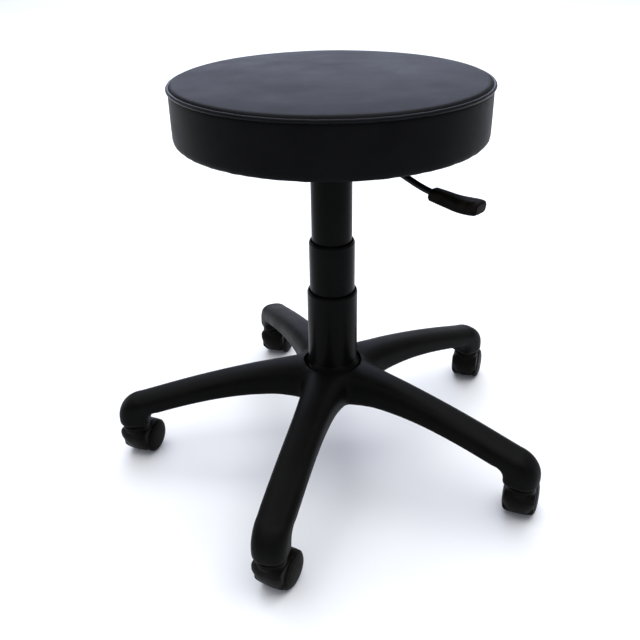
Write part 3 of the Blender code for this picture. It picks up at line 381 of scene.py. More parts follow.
@dataclass(frozen=True)
class Finish:
    """One surface finish. Colours are sRGB hex; drift is the size of its colour patches in mm."""

    name: str
    colour: str
    drifts_to: str
    drift: float
    roughness: float
    wander: float = 0.05
    reliefs: tuple[Relief, ...] = ()
    metallic: float = 0.0
    ior: float = 1.5
    specular: float = 0.5     # far lower on the blacks, which the white floor would turn grey
    sheen: float = 0.0
    dust_and_top_sheen: str = ""         # colour laid on faces that look up: dust, and a painted highlight on the tops
    dust_and_top_sheen_share: float = 0.0
    rubbed: str = ""          # colour of edges rubbed by use
    rubbed_share: float = 0.0
    speck: float = 3.0        # size of the specks in the dust, the painted top highlight and the scuffs, in mm

    def material(self) -> bpy.types.Material:
        """Make the material, or give the one already made."""
        made = bpy.data.materials.get(self.name)
        if made:
            return made
        made = bpy.data.materials.new(self.name)
        made.use_nodes = True
        made.diffuse_color = linear(self.colour)
        self.shade(made.node_tree)
        return made

    def shade(self, tree: bpy.types.NodeTree) -> None:
        """Build the shader: colour, gloss and relief.

        Args:
            tree: the new material's node tree.
        """
        shader = tree.nodes["Principled BSDF"]
        settings = {"Metallic": self.metallic, "IOR": self.ior, "Specular IOR Level": self.specular,
                    "Sheen Weight": self.sheen}
        for socket, value in settings.items():
            shader.inputs[socket].default_value = value
        place = add_node(tree, "ShaderNodeTexCoord", {}).outputs["Object"]
        patches = add_node(tree, "ShaderNodeTexNoise",
                           {"Vector": place, "Scale": 1.0 / (self.drift * MM), "Detail": 4.0,
                            "Roughness": 0.6}).outputs[0]
        drifted = add_node(tree, "ShaderNodeMapRange",
                           {"Value": patches, "From Min": 0.35, "From Max": 0.65},
                           interpolation_type="SMOOTHSTEP").outputs[0]
        colour = self.mixed(tree, drifted, linear(self.colour), linear(self.drifts_to))
        # Adds dust and a painted highlight on faces that look up, and rubbed edges.
        colour = self.aged_and_top_lit(tree, place, colour)
        tree.links.new(colour, shader.inputs["Base Color"])
        gloss = add_node(tree, "ShaderNodeMapRange",
                         {"Value": patches, "From Min": 0.3, "From Max": 0.7,
                          "To Min": self.roughness - self.wander, "To Max": self.roughness + self.wander})
        tree.links.new(gloss.outputs[0], shader.inputs["Roughness"])
        normal = None
        for relief in self.reliefs:
            sockets = {"Height": relief.height(tree, place), "Strength": 1.0, "Distance": relief.depth * MM}
            if normal:
                sockets["Normal"] = normal
            normal = add_node(tree, "ShaderNodeBump", sockets).outputs[0]
        if normal:
            tree.links.new(normal, shader.inputs["Normal"])

    def mixed(self, tree: bpy.types.NodeTree, share: bpy.types.NodeSocket, first: tuple,
              second: tuple) -> bpy.types.NodeSocket:
        """Mix two colours, each a value or a socket, by a share."""
        sockets = {0: share, 6: first, 7: second}
        return add_node(tree, "ShaderNodeMix", sockets, data_type="RGBA").outputs[2]

    def aged_and_top_lit(self, tree: bpy.types.NodeTree, place: bpy.types.NodeSocket,
             colour: bpy.types.NodeSocket) -> bpy.types.NodeSocket:
        """Lay dust with a painted highlight on faces that look up, and rubbed edges, over the colour.

        Args:
            tree: the material's node tree.
            place: the coordinates to read.
            colour: the clean surface's colour.

        Returns:
            The socket that carries the colour with dust, painted top highlight and rubbed edges.
        """
        if not (self.dust_and_top_sheen or self.rubbed):
            return colour
        geometry = add_node(tree, "ShaderNodeNewGeometry", {})
        specks = add_node(tree, "ShaderNodeTexNoise",
                          {"Vector": place, "Scale": 1.0 / (self.speck * MM), "Detail": 6.0,
                           "Roughness": 0.7})
        # Faces that look up are lightened: partly dust lying on them, partly a painted highlight standing in for
        # the light on the tops.
        if self.dust_and_top_sheen:
            up = add_node(tree, "ShaderNodeSeparateXYZ", {0: geometry.outputs["Normal"]}).outputs[2]
            facing = add_node(tree, "ShaderNodeMapRange",
                              {"Value": up, "From Min": 0.45, "From Max": 1.0,
                               "To Max": self.dust_and_top_sheen_share}).outputs[0]
            share = add_node(tree, "ShaderNodeMath", {0: facing, 1: specks.outputs[0]},
                             operation="MULTIPLY").outputs[0]
            colour = self.mixed(tree, share, colour, linear(self.dust_and_top_sheen))
        if self.rubbed:
            edge = add_node(tree, "ShaderNodeMapRange",
                            {"Value": geometry.outputs["Pointiness"], "From Min": 0.52, "From Max": 0.60,
                             "To Max": self.rubbed_share}).outputs[0]
            share = add_node(tree, "ShaderNodeMath", {0: edge, 1: specks.outputs[0]},
                             operation="MULTIPLY").outputs[0]
            colour = self.mixed(tree, share, colour, linear(self.rubbed))
        return colour


# PVC-coated cloth, calendered and embossed: an even satin black that turns grey where the light
# glances off it, over a fine hide grain. The hide's 0.7 mm cells are drawn at 1.1 mm to show.
VINYL = Finish("coated_vinyl_embossed", "#0B0B0C", "#0E0E10", 60.0, 0.42, 0.04,
               (Relief(Pattern.PEBBLE, 1.1, 0.035), Relief(Pattern.SPARK, 14.0, 0.06)),
               # Faces that look up are lightened bluish grey: dust, and a painted highlight on the seat's top.
               ior=1.52, specular=0.026, dust_and_top_sheen="#1E1F22", dust_and_top_sheen_share=0.12)

# The same sheet wrapped tight over a cord: its grain is stretched flat, so it is a little glossier.
VINYL_CORD = Finish("coated_vinyl_stretched", "#0B0C0E", "#101114", 25.0, 0.30, 0.05,
                    (Relief(Pattern.PEBBLE, 1.1, 0.02), Relief(Pattern.SPARK, 5.0, 0.12)),
                    ior=1.52, specular=0.05)

# Glass-filled nylon from a spark-eroded mould: deep black, low sheen, fine even grit with flow
# marks. The 0.25 mm grit is drawn at 0.6 mm to show.
BASE_NYLON = Finish("glass_nylon_spark_moulded", "#070707", "#0B0B0A", 45.0, 0.46, 0.06,
                    (Relief(Pattern.SPARK, 0.6, 0.03), Relief(Pattern.PEEL, 14.0, 0.12)),
                    # Faces that look up are lightened: dust, and a painted highlight on the arms' tops.
                    ior=1.53, specular=0.034, dust_and_top_sheen="#1E1D1C", dust_and_top_sheen_share=0.30,
                    rubbed="#3A3836", rubbed_share=0.45)

# Polypropylene drawn off a polished core: smooth and darker, with faint lengthwise draw marks.
COVER_PLASTIC = Finish("polypropylene_polish_moulded", "#050505", "#080808", 30.0, 0.30, 0.05,
                       (Relief(Pattern.DRAWN, 0.8, 0.012), Relief(Pattern.PEEL, 9.0, 0.05)),
                       ior=1.49, specular=0.04, rubbed="#2A2825", rubbed_share=0.30)

# Polypropylene from an etched mould, handled daily: a warm black, a little polished by hands.
HANDLE_PLASTIC = Finish("polypropylene_etched_handled", "#0A0908", "#14120F", 14.0, 0.40, 0.08,
                        (Relief(Pattern.SPARK, 0.7, 0.03), Relief(Pattern.PEEL, 7.0, 0.06)),
                        ior=1.49, specular=0.02)

# Unfilled nylon, moulded satin: a slightly brown black, scuffed lighter where floors rub it.
CASTER_NYLON = Finish("nylon_satin_moulded", "#090807", "#0D0C0A", 18.0, 0.40, 0.06,
                      (Relief(Pattern.SPARK, 0.5, 0.02), Relief(Pattern.PEEL, 6.0, 0.05)),
                      # Faces that look up are lightened: dust, and a painted highlight on the hoods' tops.
                      ior=1.53, specular=0.025, dust_and_top_sheen="#26231F", dust_and_top_sheen_share=0.15,
                      rubbed="#36322B", rubbed_share=0.4)

# The same nylon run in on a floor: fine rings and dust round the tread.
WHEEL_NYLON = Finish("nylon_satin_run_in", "#090807", "#100E0C", 9.0, 0.42, 0.08,
                     (Relief(Pattern.ROLLED, 0.7, 0.025), Relief(Pattern.SPARK, 2.5, 0.03)),
                     ior=1.53, specular=0.025, rubbed="#37332B", rubbed_share=0.5)

# Steel with a baked powder coat: soft gloss with the slow ripple of orange peel.
ENAMEL = Finish("steel_powder_coated", "#070708", "#0B0B0C", 40.0, 0.34, 0.05,
                (Relief(Pattern.PEEL, 2.2, 0.04), Relief(Pattern.SPARK, 0.5, 0.008)),
                specular=0.12, rubbed="#4A4A4A", rubbed_share=0.3)

# Bright zinc plate: pale blue-grey metal, clouded by its passivation.
ZINC = Finish("steel_bright_zinc_plated", "#B9BCC0", "#A4A49A", 6.0, 0.30, 0.08,
              (Relief(Pattern.SPARK, 0.4, 0.006),), metallic=1.0)

# Hard chrome over a ground rod: near-mirror with hair-fine rings.
CHROME = Finish("steel_ground_hard_chromed", "#C4C6C9", "#B8BABE", 20.0, 0.10, 0.03,
                (Relief(Pattern.TURNED, 0.3, 0.002),), metallic=1.0)

# Ground bearing steel: grey, with grinding rings under a film of oil.
STEEL = Finish("steel_ground_oiled", "#8F8F8D", "#77766F", 10.0, 0.28, 0.06,
               (Relief(Pattern.TURNED, 0.4, 0.006),), metallic=1.0)

# Moulded acetal: milky white, waxy.
ACETAL = Finish("acetal_moulded", "#D3D0C6", "#C4BFB2", 12.0, 0.38, 0.05,
                (Relief(Pattern.PEEL, 2.0, 0.02),), ior=1.48)

# Birch plywood, sanded: pale, with long darker grain.
PLYWOOD = Finish("birch_plywood_sanded", "#C39A6B", "#A67C4E", 16.0, 0.62, 0.06,
                 (Relief(Pattern.TIMBER, 0.9, 0.08),), ior=1.45, specular=0.3)

# Spunbond polypropylene cloth: matt black with a furry, dimpled face.
DUST_CLOTH = Finish("polypropylene_spunbond", "#0C0C0C", "#131313", 5.0, 0.88, 0.05,
                    (Relief(Pattern.FIBRE, 1.2, 0.12), Relief(Pattern.PEBBLE, 2.0, 0.08)),
                    specular=0.06, sheen=0.04)

# Moulded polyurethane foam, inside the cover.
FOAM = Finish("polyurethane_foam_cut", "#7E7A6C", "#6B675B", 12.0, 0.92, 0.04,
              (Relief(Pattern.FIBRE, 1.4, 0.4),), specular=0.2)

# Painted plaster floor of the set.
FLOOR = Finish("floor_matt_painted", "#F4F5F7", "#F0F1F4", 900.0, 0.85, 0.04,
               (Relief(Pattern.SPARK, 4.0, 0.05),), specular=0.1)

FINISH_OF_SLOT = {"vinyl": VINYL, "foam": FOAM, "plywood": PLYWOOD, "dust_cloth": DUST_CLOTH,
                  "enamel": ENAMEL, "zinc": ZINC, "chrome": CHROME, "steel": STEEL,
                  "acetal": ACETAL, "cover_plastic": COVER_PLASTIC, "base_nylon": BASE_NYLON,
                  "caster_nylon": CASTER_NYLON}


def show(name: str, mesh: bpy.types.Mesh, finish: Finish, body: str,
         stands_for: Sequence[str] = (), place: Matrix | None = None) -> bpy.types.Object:
    """Put a finished piece into the scene on its body.

    Args:
        name: the piece's name.
        mesh: its mesh.
        finish: its finish.
        body: the frame body that it rides on.
        stands_for: frame solids that it replaces.
        place: where the mesh goes; by default it is already in place.

    Returns:
        The new object.
    """
    item = bpy.data.objects.new(name, mesh)
    bpy.context.scene.collection.objects.link(item)
    if place is not None:
        item.matrix_world = place
    mesh.materials.clear()
    mesh.materials.append(finish.material())
    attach(item, body)
    if stands_for:
        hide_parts(*stands_for)
    log.info("%s on %s: %d faces, %s", name, body, len(mesh.polygons), finish.name)
    return item


# ---- seat ------------------------------------------------------------------------------------

@dataclass
class Cushion:
    """Upholstered seat: swollen cover, corded seam, gathered hem, dust cloth and staples."""

    foot_radius: float = 8.0 * MM
    seam_rise: float = 4.0 * MM               # the pulled-up cord sits this far above its plain solid
    roll_width: float = 8.0 * MM
    roll_height: float = 5.2 * MM
    hem_width: float = 19.0 * MM
    cover_thickness: float = 1.2 * MM
    cord_proud: float = 1.5 * MM
    seam_pull: float = 1.9 * MM
    seam_reach: float = 3.2 * MM
    seam_gather: float = 0.10 * MM
    gather_reach: float = 13.0 * MM
    foot_gather: float = 0.35 * MM
    foot_reach: float = 9.0 * MM
    gather_counts: tuple[int, ...] = (31, 43, 58, 71)
    row_steps: tuple[tuple[float, float], ...] = (    # (distance from the seam, step up to there)
        (7.0 * MM, 0.55 * MM), (50.0 * MM, 1.9 * MM), (math.inf, 4.5 * MM))
    start_inset: float = 2.2 * MM
    voxel: float = 5.0 * MM
    pressure: float = 4.0
    last_frame: int = 20
    cap: float = 2.4 * MM
    swell_share: float = 0.35                 # of the even swelling; the outline holds the rest
    smoothings: int = 12
    smoothings_round: int = 5
    columns: int = 260
    joint_angle: float = math.radians(96.0)   # where the band's ends are sewn together, at the back
    joint_depth: float = 0.9 * MM
    joint_half: float = 1.1 * MM
    joint_span: float = 0.035                 # radians of finer columns to each side of it
    joint_columns: int = 29
    allowance_place: float = 3.5 * MM         # the raised edges of the cloth turned in beside it
    allowance_half: float = 2.0 * MM
    allowance_share: float = 0.35
    pleats: int = 38
    pleat_depth: float = 1.1 * MM
    clear: float = 0.3 * MM
    cord_uneven: float = 0.030
    cord_neck: float = 0.14                   # how far the cord thins where its ends meet
    cord_neck_half: float = 1.6 * MM
    cord_sway: float = 0.18 * MM
    cloth_lap: float = 6.0 * MM
    cloth_gap: float = 0.6 * MM
    cloth_hole_gap: float = 2.0 * MM
    cloth_thickness: float = 0.5 * MM
    cloth_scallop: float = 1.2 * MM
    cloth_sag: float = 2.2 * MM
    hem_step: float = 1.2 * MM
    staple_inset: float = 2.4 * MM
    staples: int = 30
    staple_half: float = 4.6 * MM
    staple_leg: float = 1.6 * MM
    staple_bend: float = 0.5 * MM
    staple_crown: float = 0.3 * MM
    wire_half_width: float = 0.55 * MM
    wire_half_height: float = 0.25 * MM

    def __post_init__(self) -> None:
        """Read the seat's overall sizes from the frame."""
        low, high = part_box("seat_cover")
        cord_low, cord_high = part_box("seat_piping")
        self.underside = low.z
        self.top = high.z
        self.seam = (cord_low.z + cord_high.z) / 2.0 + self.seam_rise
        self.cord_radius = (cord_high.z - cord_low.z) / 2.0
        self.cord_circle = half_width("seat_piping") - self.cord_radius
        self.radius = self.cord_circle + self.cord_radius - self.cord_proud
        self.hem = self.radius - self.foot_radius - self.hem_width
        self.place = column_place()
        self.random = np.random.default_rng(11)

    def side(self, inset: float) -> list:
        """List the cover's outline from the foot of the band to the middle of the top.

        Args:
            inset: how far inside the finished cover the outline runs.

        Returns:
            Points as (r, z), close enough together to measure along.
        """
        radius = self.radius - inset
        low, top = self.underside + inset, self.top - inset
        foot = self.foot_radius
        outline = arc((radius - foot, low + foot), foot, -90.0, 0.0, 12)
        outline += [(radius, z) for z in np.linspace(low + foot, self.seam, 60)[1:]]
        crown = top - self.seam - self.roll_height
        for angle in np.radians(np.linspace(2.0, 90.0, 45)):
            outline.append((radius - self.roll_width * (1.0 - math.cos(angle)),
                            self.seam + self.roll_height * math.sin(angle)))
        start = radius - self.roll_width
        outline += [(start * (1.0 - i / 60.0), self.seam + self.roll_height) for i in range(1, 61)]
        return [(r, z + crown * (1.0 - (r / radius) ** 2) * (z > self.seam)) for r, z in outline]

    def swollen(self) -> BVHTree:
        """Blow the cover up from a slightly small start, held at its seam and by the board.

        Returns:
            The swollen surface, for the fine cover to be laid on.
        """
        start = lathe("cushion_start", [(0.0, self.underside + self.start_inset)]
                      + self.side(self.start_inset)[::3] + [(0.0, self.top - self.start_inset)], 120)
        start = with_modifiers(start, ("REMESH", {"mode": "VOXEL", "voxel_size": self.voxel}))
        rest = points_of(start)
        start.vertices.foreach_set("co", self.simulated(start, rest).ravel())
        fine = with_modifiers(start, ("SUBSURF", {"levels": 1, "render_levels": 1}))
        faces = [tuple(p.vertices) for p in fine.polygons]
        return BVHTree.FromPolygons([v.co for v in fine.vertices], faces)

    def simulated(self, mesh: bpy.types.Mesh, rest: np.ndarray) -> np.ndarray:
        """Run the cloth simulation and cap how far a point may move.

        Args:
            mesh: the remeshed start shape.
            rest: its points.

        Returns:
            The points of the swollen shape.
        """
        item = bpy.data.objects.new("cushion_cloth", mesh)
        bpy.context.scene.collection.objects.link(item)
        reach = np.hypot(rest[:, 0], rest[:, 1])
        near_edge = reach > self.radius - 2.0 * self.voxel
        at_seam = (np.abs(rest[:, 2] - self.seam) < self.voxel * 0.8) & near_edge
        on_board = (rest[:, 2] < self.underside + self.voxel) & (reach < self.radius - self.foot_radius)
        held = item.vertex_groups.new(name="held")
        held.add([int(i) for i in np.nonzero(at_seam | on_board)[0]], 1.0, "REPLACE")
        cloth = item.modifiers.new("swell", "CLOTH")
        cloth.settings.vertex_group_mass = "held"
        cloth.settings.use_pressure = True
        cloth.settings.uniform_pressure_force = self.pressure
        cloth.settings.effector_weights.gravity = 0.0
        cloth.settings.quality = 5
        cloth.settings.mass = 0.4
        cloth.settings.tension_stiffness = 20.0
        cloth.settings.compression_stiffness = 20.0
        cloth.settings.bending_stiffness = 2.0
        cloth.point_cache.frame_end = self.last_frame
        for number in range(1, self.last_frame + 1):
            bpy.context.scene.frame_set(number)
        graph = bpy.context.evaluated_depsgraph_get()
        moved = points_of(item.evaluated_get(graph).to_mesh()) - rest
        bpy.context.scene.frame_set(1)
        bpy.data.objects.remove(item)
        length = np.linalg.norm(moved, axis=1, keepdims=True)
        log.info("cushion swelled by %.1f mm at most", length.max() / MM)
        return rest + moved * np.minimum(1.0, self.cap / np.maximum(length, 1e-9))

    def stations(self) -> tuple[np.ndarray, np.ndarray, np.ndarray]:
        """Space rows along the cover's outline, closer together beside the seam.

        Returns:
            The rows' (r, z) points, their outward directions and their distances from the seam.
        """
        path = np.array(self.side(0.0))
        steps = np.hypot(*np.diff(path, axis=0).T)
        along = np.concatenate([[0.0], np.cumsum(steps)])
        seam = along[np.argmax(path[:, 1] >= self.seam - 1e-9)]
        marks = [0.0]
        while marks[-1] < along[-1]:
            near = abs(marks[-1] - seam)
            marks.append(marks[-1] + next(step for reach, step in self.row_steps if near < reach))
        marks[-1] = along[-1]
        marks = np.array(marks)
        points = np.stack([np.interp(marks, along, path[:, k]) for k in (0, 1)], axis=1)
        run = np.gradient(points, axis=0)
        outward = np.stack([run[:, 1], -run[:, 0]], axis=1)
        outward /= np.linalg.norm(outward, axis=1, keepdims=True)
        return points, outward, marks - seam

    def columns_round(self) -> np.ndarray:
        """Space columns round the seat, closer together beside the band's joint."""
        even = np.arange(self.columns) * TAU / self.columns
        fine = self.joint_angle + np.linspace(-self.joint_span, self.joint_span, self.joint_columns)
        return np.unique(np.round(np.concatenate([even, fine]), 6))

    def gathers(self, angles: np.ndarray) -> np.ndarray:
        """Give a slow, uneven wave round the seat, from -1 to 1."""
        wave = np.zeros_like(angles)
        for count in self.gather_counts:
            wave += np.sin(count * angles + self.random.uniform(0.0, TAU)) * self.random.uniform(0.5, 1.0)
        return wave / 3.0

    def build_cover(self) -> bpy.types.Object:
        """Lay the fine cover over the swollen shape, then pull in its seams and turn in its hem."""
        surface = self.swollen()
        points, outward, from_seam = self.stations()
        angles = self.columns_round()
        radial = np.stack([np.cos(angles), np.sin(angles), np.zeros_like(angles)], axis=1)
        upward = np.array((0.0, 0.0, 1.0))
        base = points[:, None, :1] * radial[None] + points[:, None, 1:] * upward
        normal = outward[:, None, :1] * radial[None] + outward[:, None, 1:] * upward
        lift = self.sampled(surface, base, normal)
        near_seam = np.exp(-(from_seam / self.seam_reach) ** 2)[:, None]
        ease = np.exp(-np.abs(from_seam) / self.gather_reach)[:, None] * (1.0 - near_seam)
        lift = lift * (1.0 - near_seam) - self.seam_pull * near_seam
        lift += self.seam_gather * ease * self.gathers(angles)[None]
        at_foot = np.exp(-((points[:, 1] - self.underside) / self.foot_reach) ** 2)
        at_foot = at_foot * (points[:, 0] > self.radius * 0.9)
        lift += self.foot_gather * at_foot[:, None] * self.gathers(angles)[None]
        across = (angles - self.joint_angle) * self.radius
        allowance = np.exp(-((np.abs(across) - self.allowance_place) / self.allowance_half) ** 2)
        joint = np.exp(-(across / self.joint_half) ** 2) - self.allowance_share * allowance
        on_band = (from_seam < 0.0).astype(float)[:, None]
        lift -= self.joint_depth * on_band * joint[None]
        rows = base + normal * lift[..., None]
        rows = np.concatenate([self.turned_in(angles, radial, rows[0]), rows])
        mesh = grid_mesh("seat_upholstery", rows, wrap_rows=False)
        cover = show("seat_upholstery", mesh, VINYL, "seat",
                     ("seat_cover", "seat_foam"), self.place)
        return cover

    def sampled(self, surface: BVHTree, base: np.ndarray, normal: np.ndarray) -> np.ndarray:
        """Measure how far the swollen surface stands off the cover's outline, smoothed.

        Args:
            surface: the swollen shape.
            base: the cover's points, rows by columns.
            normal: their outward directions.

        Returns:
            The distances, rows by columns.
        """
        probe = 15.0 * MM
        lift = np.zeros(base.shape[:2])
        for i in range(base.shape[0]):
            for j in range(base.shape[1]):
                start = Vector(base[i, j] + normal[i, j] * probe)
                hit = surface.ray_cast(start, Vector(-normal[i, j]), 2.0 * probe)
                lift[i, j] = probe - hit[3] if hit[3] is not None else 0.0
        for _ in range(self.smoothings):
            for _ in range(self.smoothings_round):
                lift = (np.roll(lift, 1, 1) + 2.0 * lift + np.roll(lift, -1, 1)) / 4.0
            lift[1:-1] = (lift[:-2] + 2.0 * lift[1:-1] + lift[2:]) / 4.0
        lift[-1] = lift[-1].mean()
        return lift - (1.0 - self.swell_share) * lift.mean(axis=1, keepdims=True)

    def turned_in(self, angles: np.ndarray, radial: np.ndarray, foot_row: np.ndarray) -> np.ndarray:
        """Make the rows from inside the cover, round its cut edge and out along the pleated hem.

        Args:
            angles: the columns' angles.
            radial: their directions.
            foot_row: the first row of the band, which the hem runs out to.

        Returns:
            Rows of points that come before the band's rows.
        """
        board_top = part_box("seat_board")[1].z + self.clear
        board_edge = half_width("seat_board") + self.clear
        cut_edge = self.underside + self.cover_thickness
        inside = [(0.0, board_top), (board_edge, board_top), (board_edge, cut_edge), (self.hem, cut_edge)]
        rows = [r * radial + np.array((0.0, 0.0, z)) for r, z in inside]
        phase = self.pleats * angles + 0.8 * self.gathers(angles)
        fold = np.maximum(np.sin(phase) + 0.45 * np.sin(2.0 * phase), 0.0)
        outer = self.radius - self.foot_radius
        for share in np.linspace(0.0, 1.0, 9)[:-1]:
            reach = self.hem + (outer - self.hem) * share
            drop = self.pleat_depth * (1.0 - share) ** 1.3 * fold
            row = reach * radial
            row[:, 2] = self.underside * (1.0 - share) + foot_row[:, 2] * share - drop
            rows.append(row)
        return np.array(rows)

    def build_cord(self) -> None:
        """Wrap the piping: a slightly uneven cord whose two ends meet at the back."""
        count, sides = 480, 16
        angles = np.arange(count) * TAU / count
        turn = np.arange(sides) * TAU / sides
        uneven = 1.0 + self.cord_uneven * self.gathers(angles)
        behind = np.abs((angles - self.joint_angle + math.pi) % TAU - math.pi) * self.cord_circle
        neck = np.exp(-(behind / self.cord_neck_half) ** 2)
        minor = self.cord_radius * uneven * (1.0 - self.cord_neck * neck)
        sway = self.cord_sway * self.gathers(angles)
        reach = self.cord_circle + minor[:, None] * np.cos(turn)[None]
        height = self.seam + sway[:, None] + minor[:, None] * np.sin(turn)[None]
        rows = np.stack([reach * np.cos(angles)[:, None], reach * np.sin(angles)[:, None], height], axis=2)
        show("seat_cord", grid_mesh("seat_cord", rows, wrap_rows=True), VINYL_CORD, "seat",
             ("seat_piping",), self.place)

    def build_dust_cloth(self) -> None:
        """Stretch the dust cloth over the hem: a thin ring of cloth, sagging between its staples."""
        outer = self.hem + self.cloth_lap
        hole = half_width("mounting_plate") + self.cloth_hole_gap
        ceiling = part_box("dust_cover")[0].z - self.cloth_gap
        steps = 240
        angles = np.arange(steps) * TAU / steps
        scallop = 0.5 - 0.5 * np.cos(self.staples * angles)
        rows = []
        shares = np.linspace(0.0, 1.0, 20)
        for side in (0.0, 1.0):
            for share in (shares if side == 0.0 else shares[::-1]):
                reach = hole + (outer - hole) * share
                reach = reach - self.cloth_scallop * scallop * smooth_step(share, 0.85, 1.0)
                sag = self.cloth_sag * math.sin(math.pi * share) ** 2
                over_hem = self.hem_step * smooth_step(share, 0.86, 0.93)
                height = ceiling - sag - over_hem - side * self.cloth_thickness
                rows.append(np.stack([reach * np.cos(angles), reach * np.sin(angles),
                                      np.full(steps, height)], axis=1))
        mesh = grid_mesh("seat_dust_cloth", np.array(rows), wrap_rows=True)
        cloth = show("seat_dust_cloth", mesh, DUST_CLOTH, "seat", ("dust_cover",), self.place)
        self.build_staples(outer - self.staple_inset, ceiling - self.hem_step - self.cloth_thickness)

    def build_staples(self, reach: float, height: float) -> None:
        """Drive a ring of wire staples through the cloth's edge.

        Args:
            reach: the ring's radius.
            height: the cloth's lower face there.
        """
        half, flat = self.staple_half, self.wire_half_height
        profile = ((half, self.staple_leg), (half, flat), (half - self.staple_bend, -self.staple_crown))
        path = [Vector((0.0, -y, z)) for y, z in profile]
        path += [Vector((0.0, y, z)) for y, z in profile[::-1]]
        wire = sweep("staple", path, lambda share: superellipse(self.wire_half_width, flat, 4.0, 8),
                     side=Vector((1.0, 0.0, 0.0)))
        places = []
        for i in range(self.staples):
            angle = TAU * (i + 0.12 * self.random.uniform(-1.0, 1.0)) / self.staples
            lean = self.random.uniform(-0.25, 0.25)
            places.append(Matrix.Rotation(angle, 4, "Z") @ Matrix.Translation((reach, 0.0, height))
                          @ Matrix.Rotation(lean, 4, "Z"))
        show("seat_staples", joined("seat_staples", [wire] * self.staples, places), ZINC, "seat",
             place=self.place)

    def build(self) -> None:
        """Build every soft and sewn piece of the seat."""
        self.build_cover()
        self.build_cord()
        self.build_dust_cloth()


# ---- column cover ----------------------------------------------------------------------------

@dataclass
class ColumnCover:
    """Telescopic plastic sleeves round the gas lift, with thin turned-in lips."""

    wall: float = 2.0 * MM
    upper_wall: float = 1.7 * MM
    step: float = 3.7 * MM
    lip: float = 1.2 * MM
    lip_height: float = 3.0 * MM
    flare_height: float = 13.0 * MM
    flare_edge: float = 2.6 * MM
    flare_neck: float = 1.3 * MM
    flare_neck_height: float = 7.5 * MM
    steps: int = 160

    def section(self, outer: float, low: float, high: float, flare: float) -> list:
        """Give a sleeve's rounded section.

        Args:
            outer: its radius.
            low: its foot's height.
            high: its lip's height.
            flare: the foot's radius, or 0 for a plain foot.

        Returns:
            The closed (r, z) outline.
        """
        inner = outer - self.wall
        corners = [(inner, low, 0.0)]
        if flare:
            corners += [(flare, low, 0.5 * MM), (flare, low + self.flare_edge, 1.0 * MM),
                        (outer + self.flare_neck, low + self.flare_neck_height, 7.0 * MM),
                        (outer, low + self.flare_height, 9.0 * MM)]
        else:
            corners.append((outer, low, 0.4 * MM))
        corners += [(outer, high - self.lip_height, 1.6 * MM),
                    (outer - self.lip, high - 0.2 * MM, 0.4 * MM), (inner, high, 0.4 * MM)]
        return rounded(corners)

    def build(self) -> None:
        """Build the three sleeves, each on its own body."""
        place = column_place()
        middle_radius = half_width("middle_sleeve")
        sleeves = (("lower_sleeve", "base", middle_radius + self.step, half_width("lower_sleeve")),
                   ("middle_sleeve", "middle_cover", middle_radius, 0.0))
        for node, body, radius, flare in sleeves:
            low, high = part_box(node)
            outline = self.section(radius, low.z, high.z, flare)
            name = f"cover_{node}"
            show(name, lathe(name, outline, self.steps), COVER_PLASTIC, body,
                 (node,), place)
        low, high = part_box("upper_sleeve")
        outer = half_width("upper_sleeve")
        inner = outer - self.upper_wall
        outline = rounded([(inner, low.z, 0.3 * MM), (outer, low.z, 0.6 * MM), (outer, high.z, 0.6 * MM),
                           (inner, high.z, 0.3 * MM)])
        show("cover_upper_sleeve", lathe("cover_upper_sleeve", outline, self.steps), COVER_PLASTIC, "seat",
             ("upper_sleeve",), place)


# ---- lever -----------------------------------------------------------------------------------

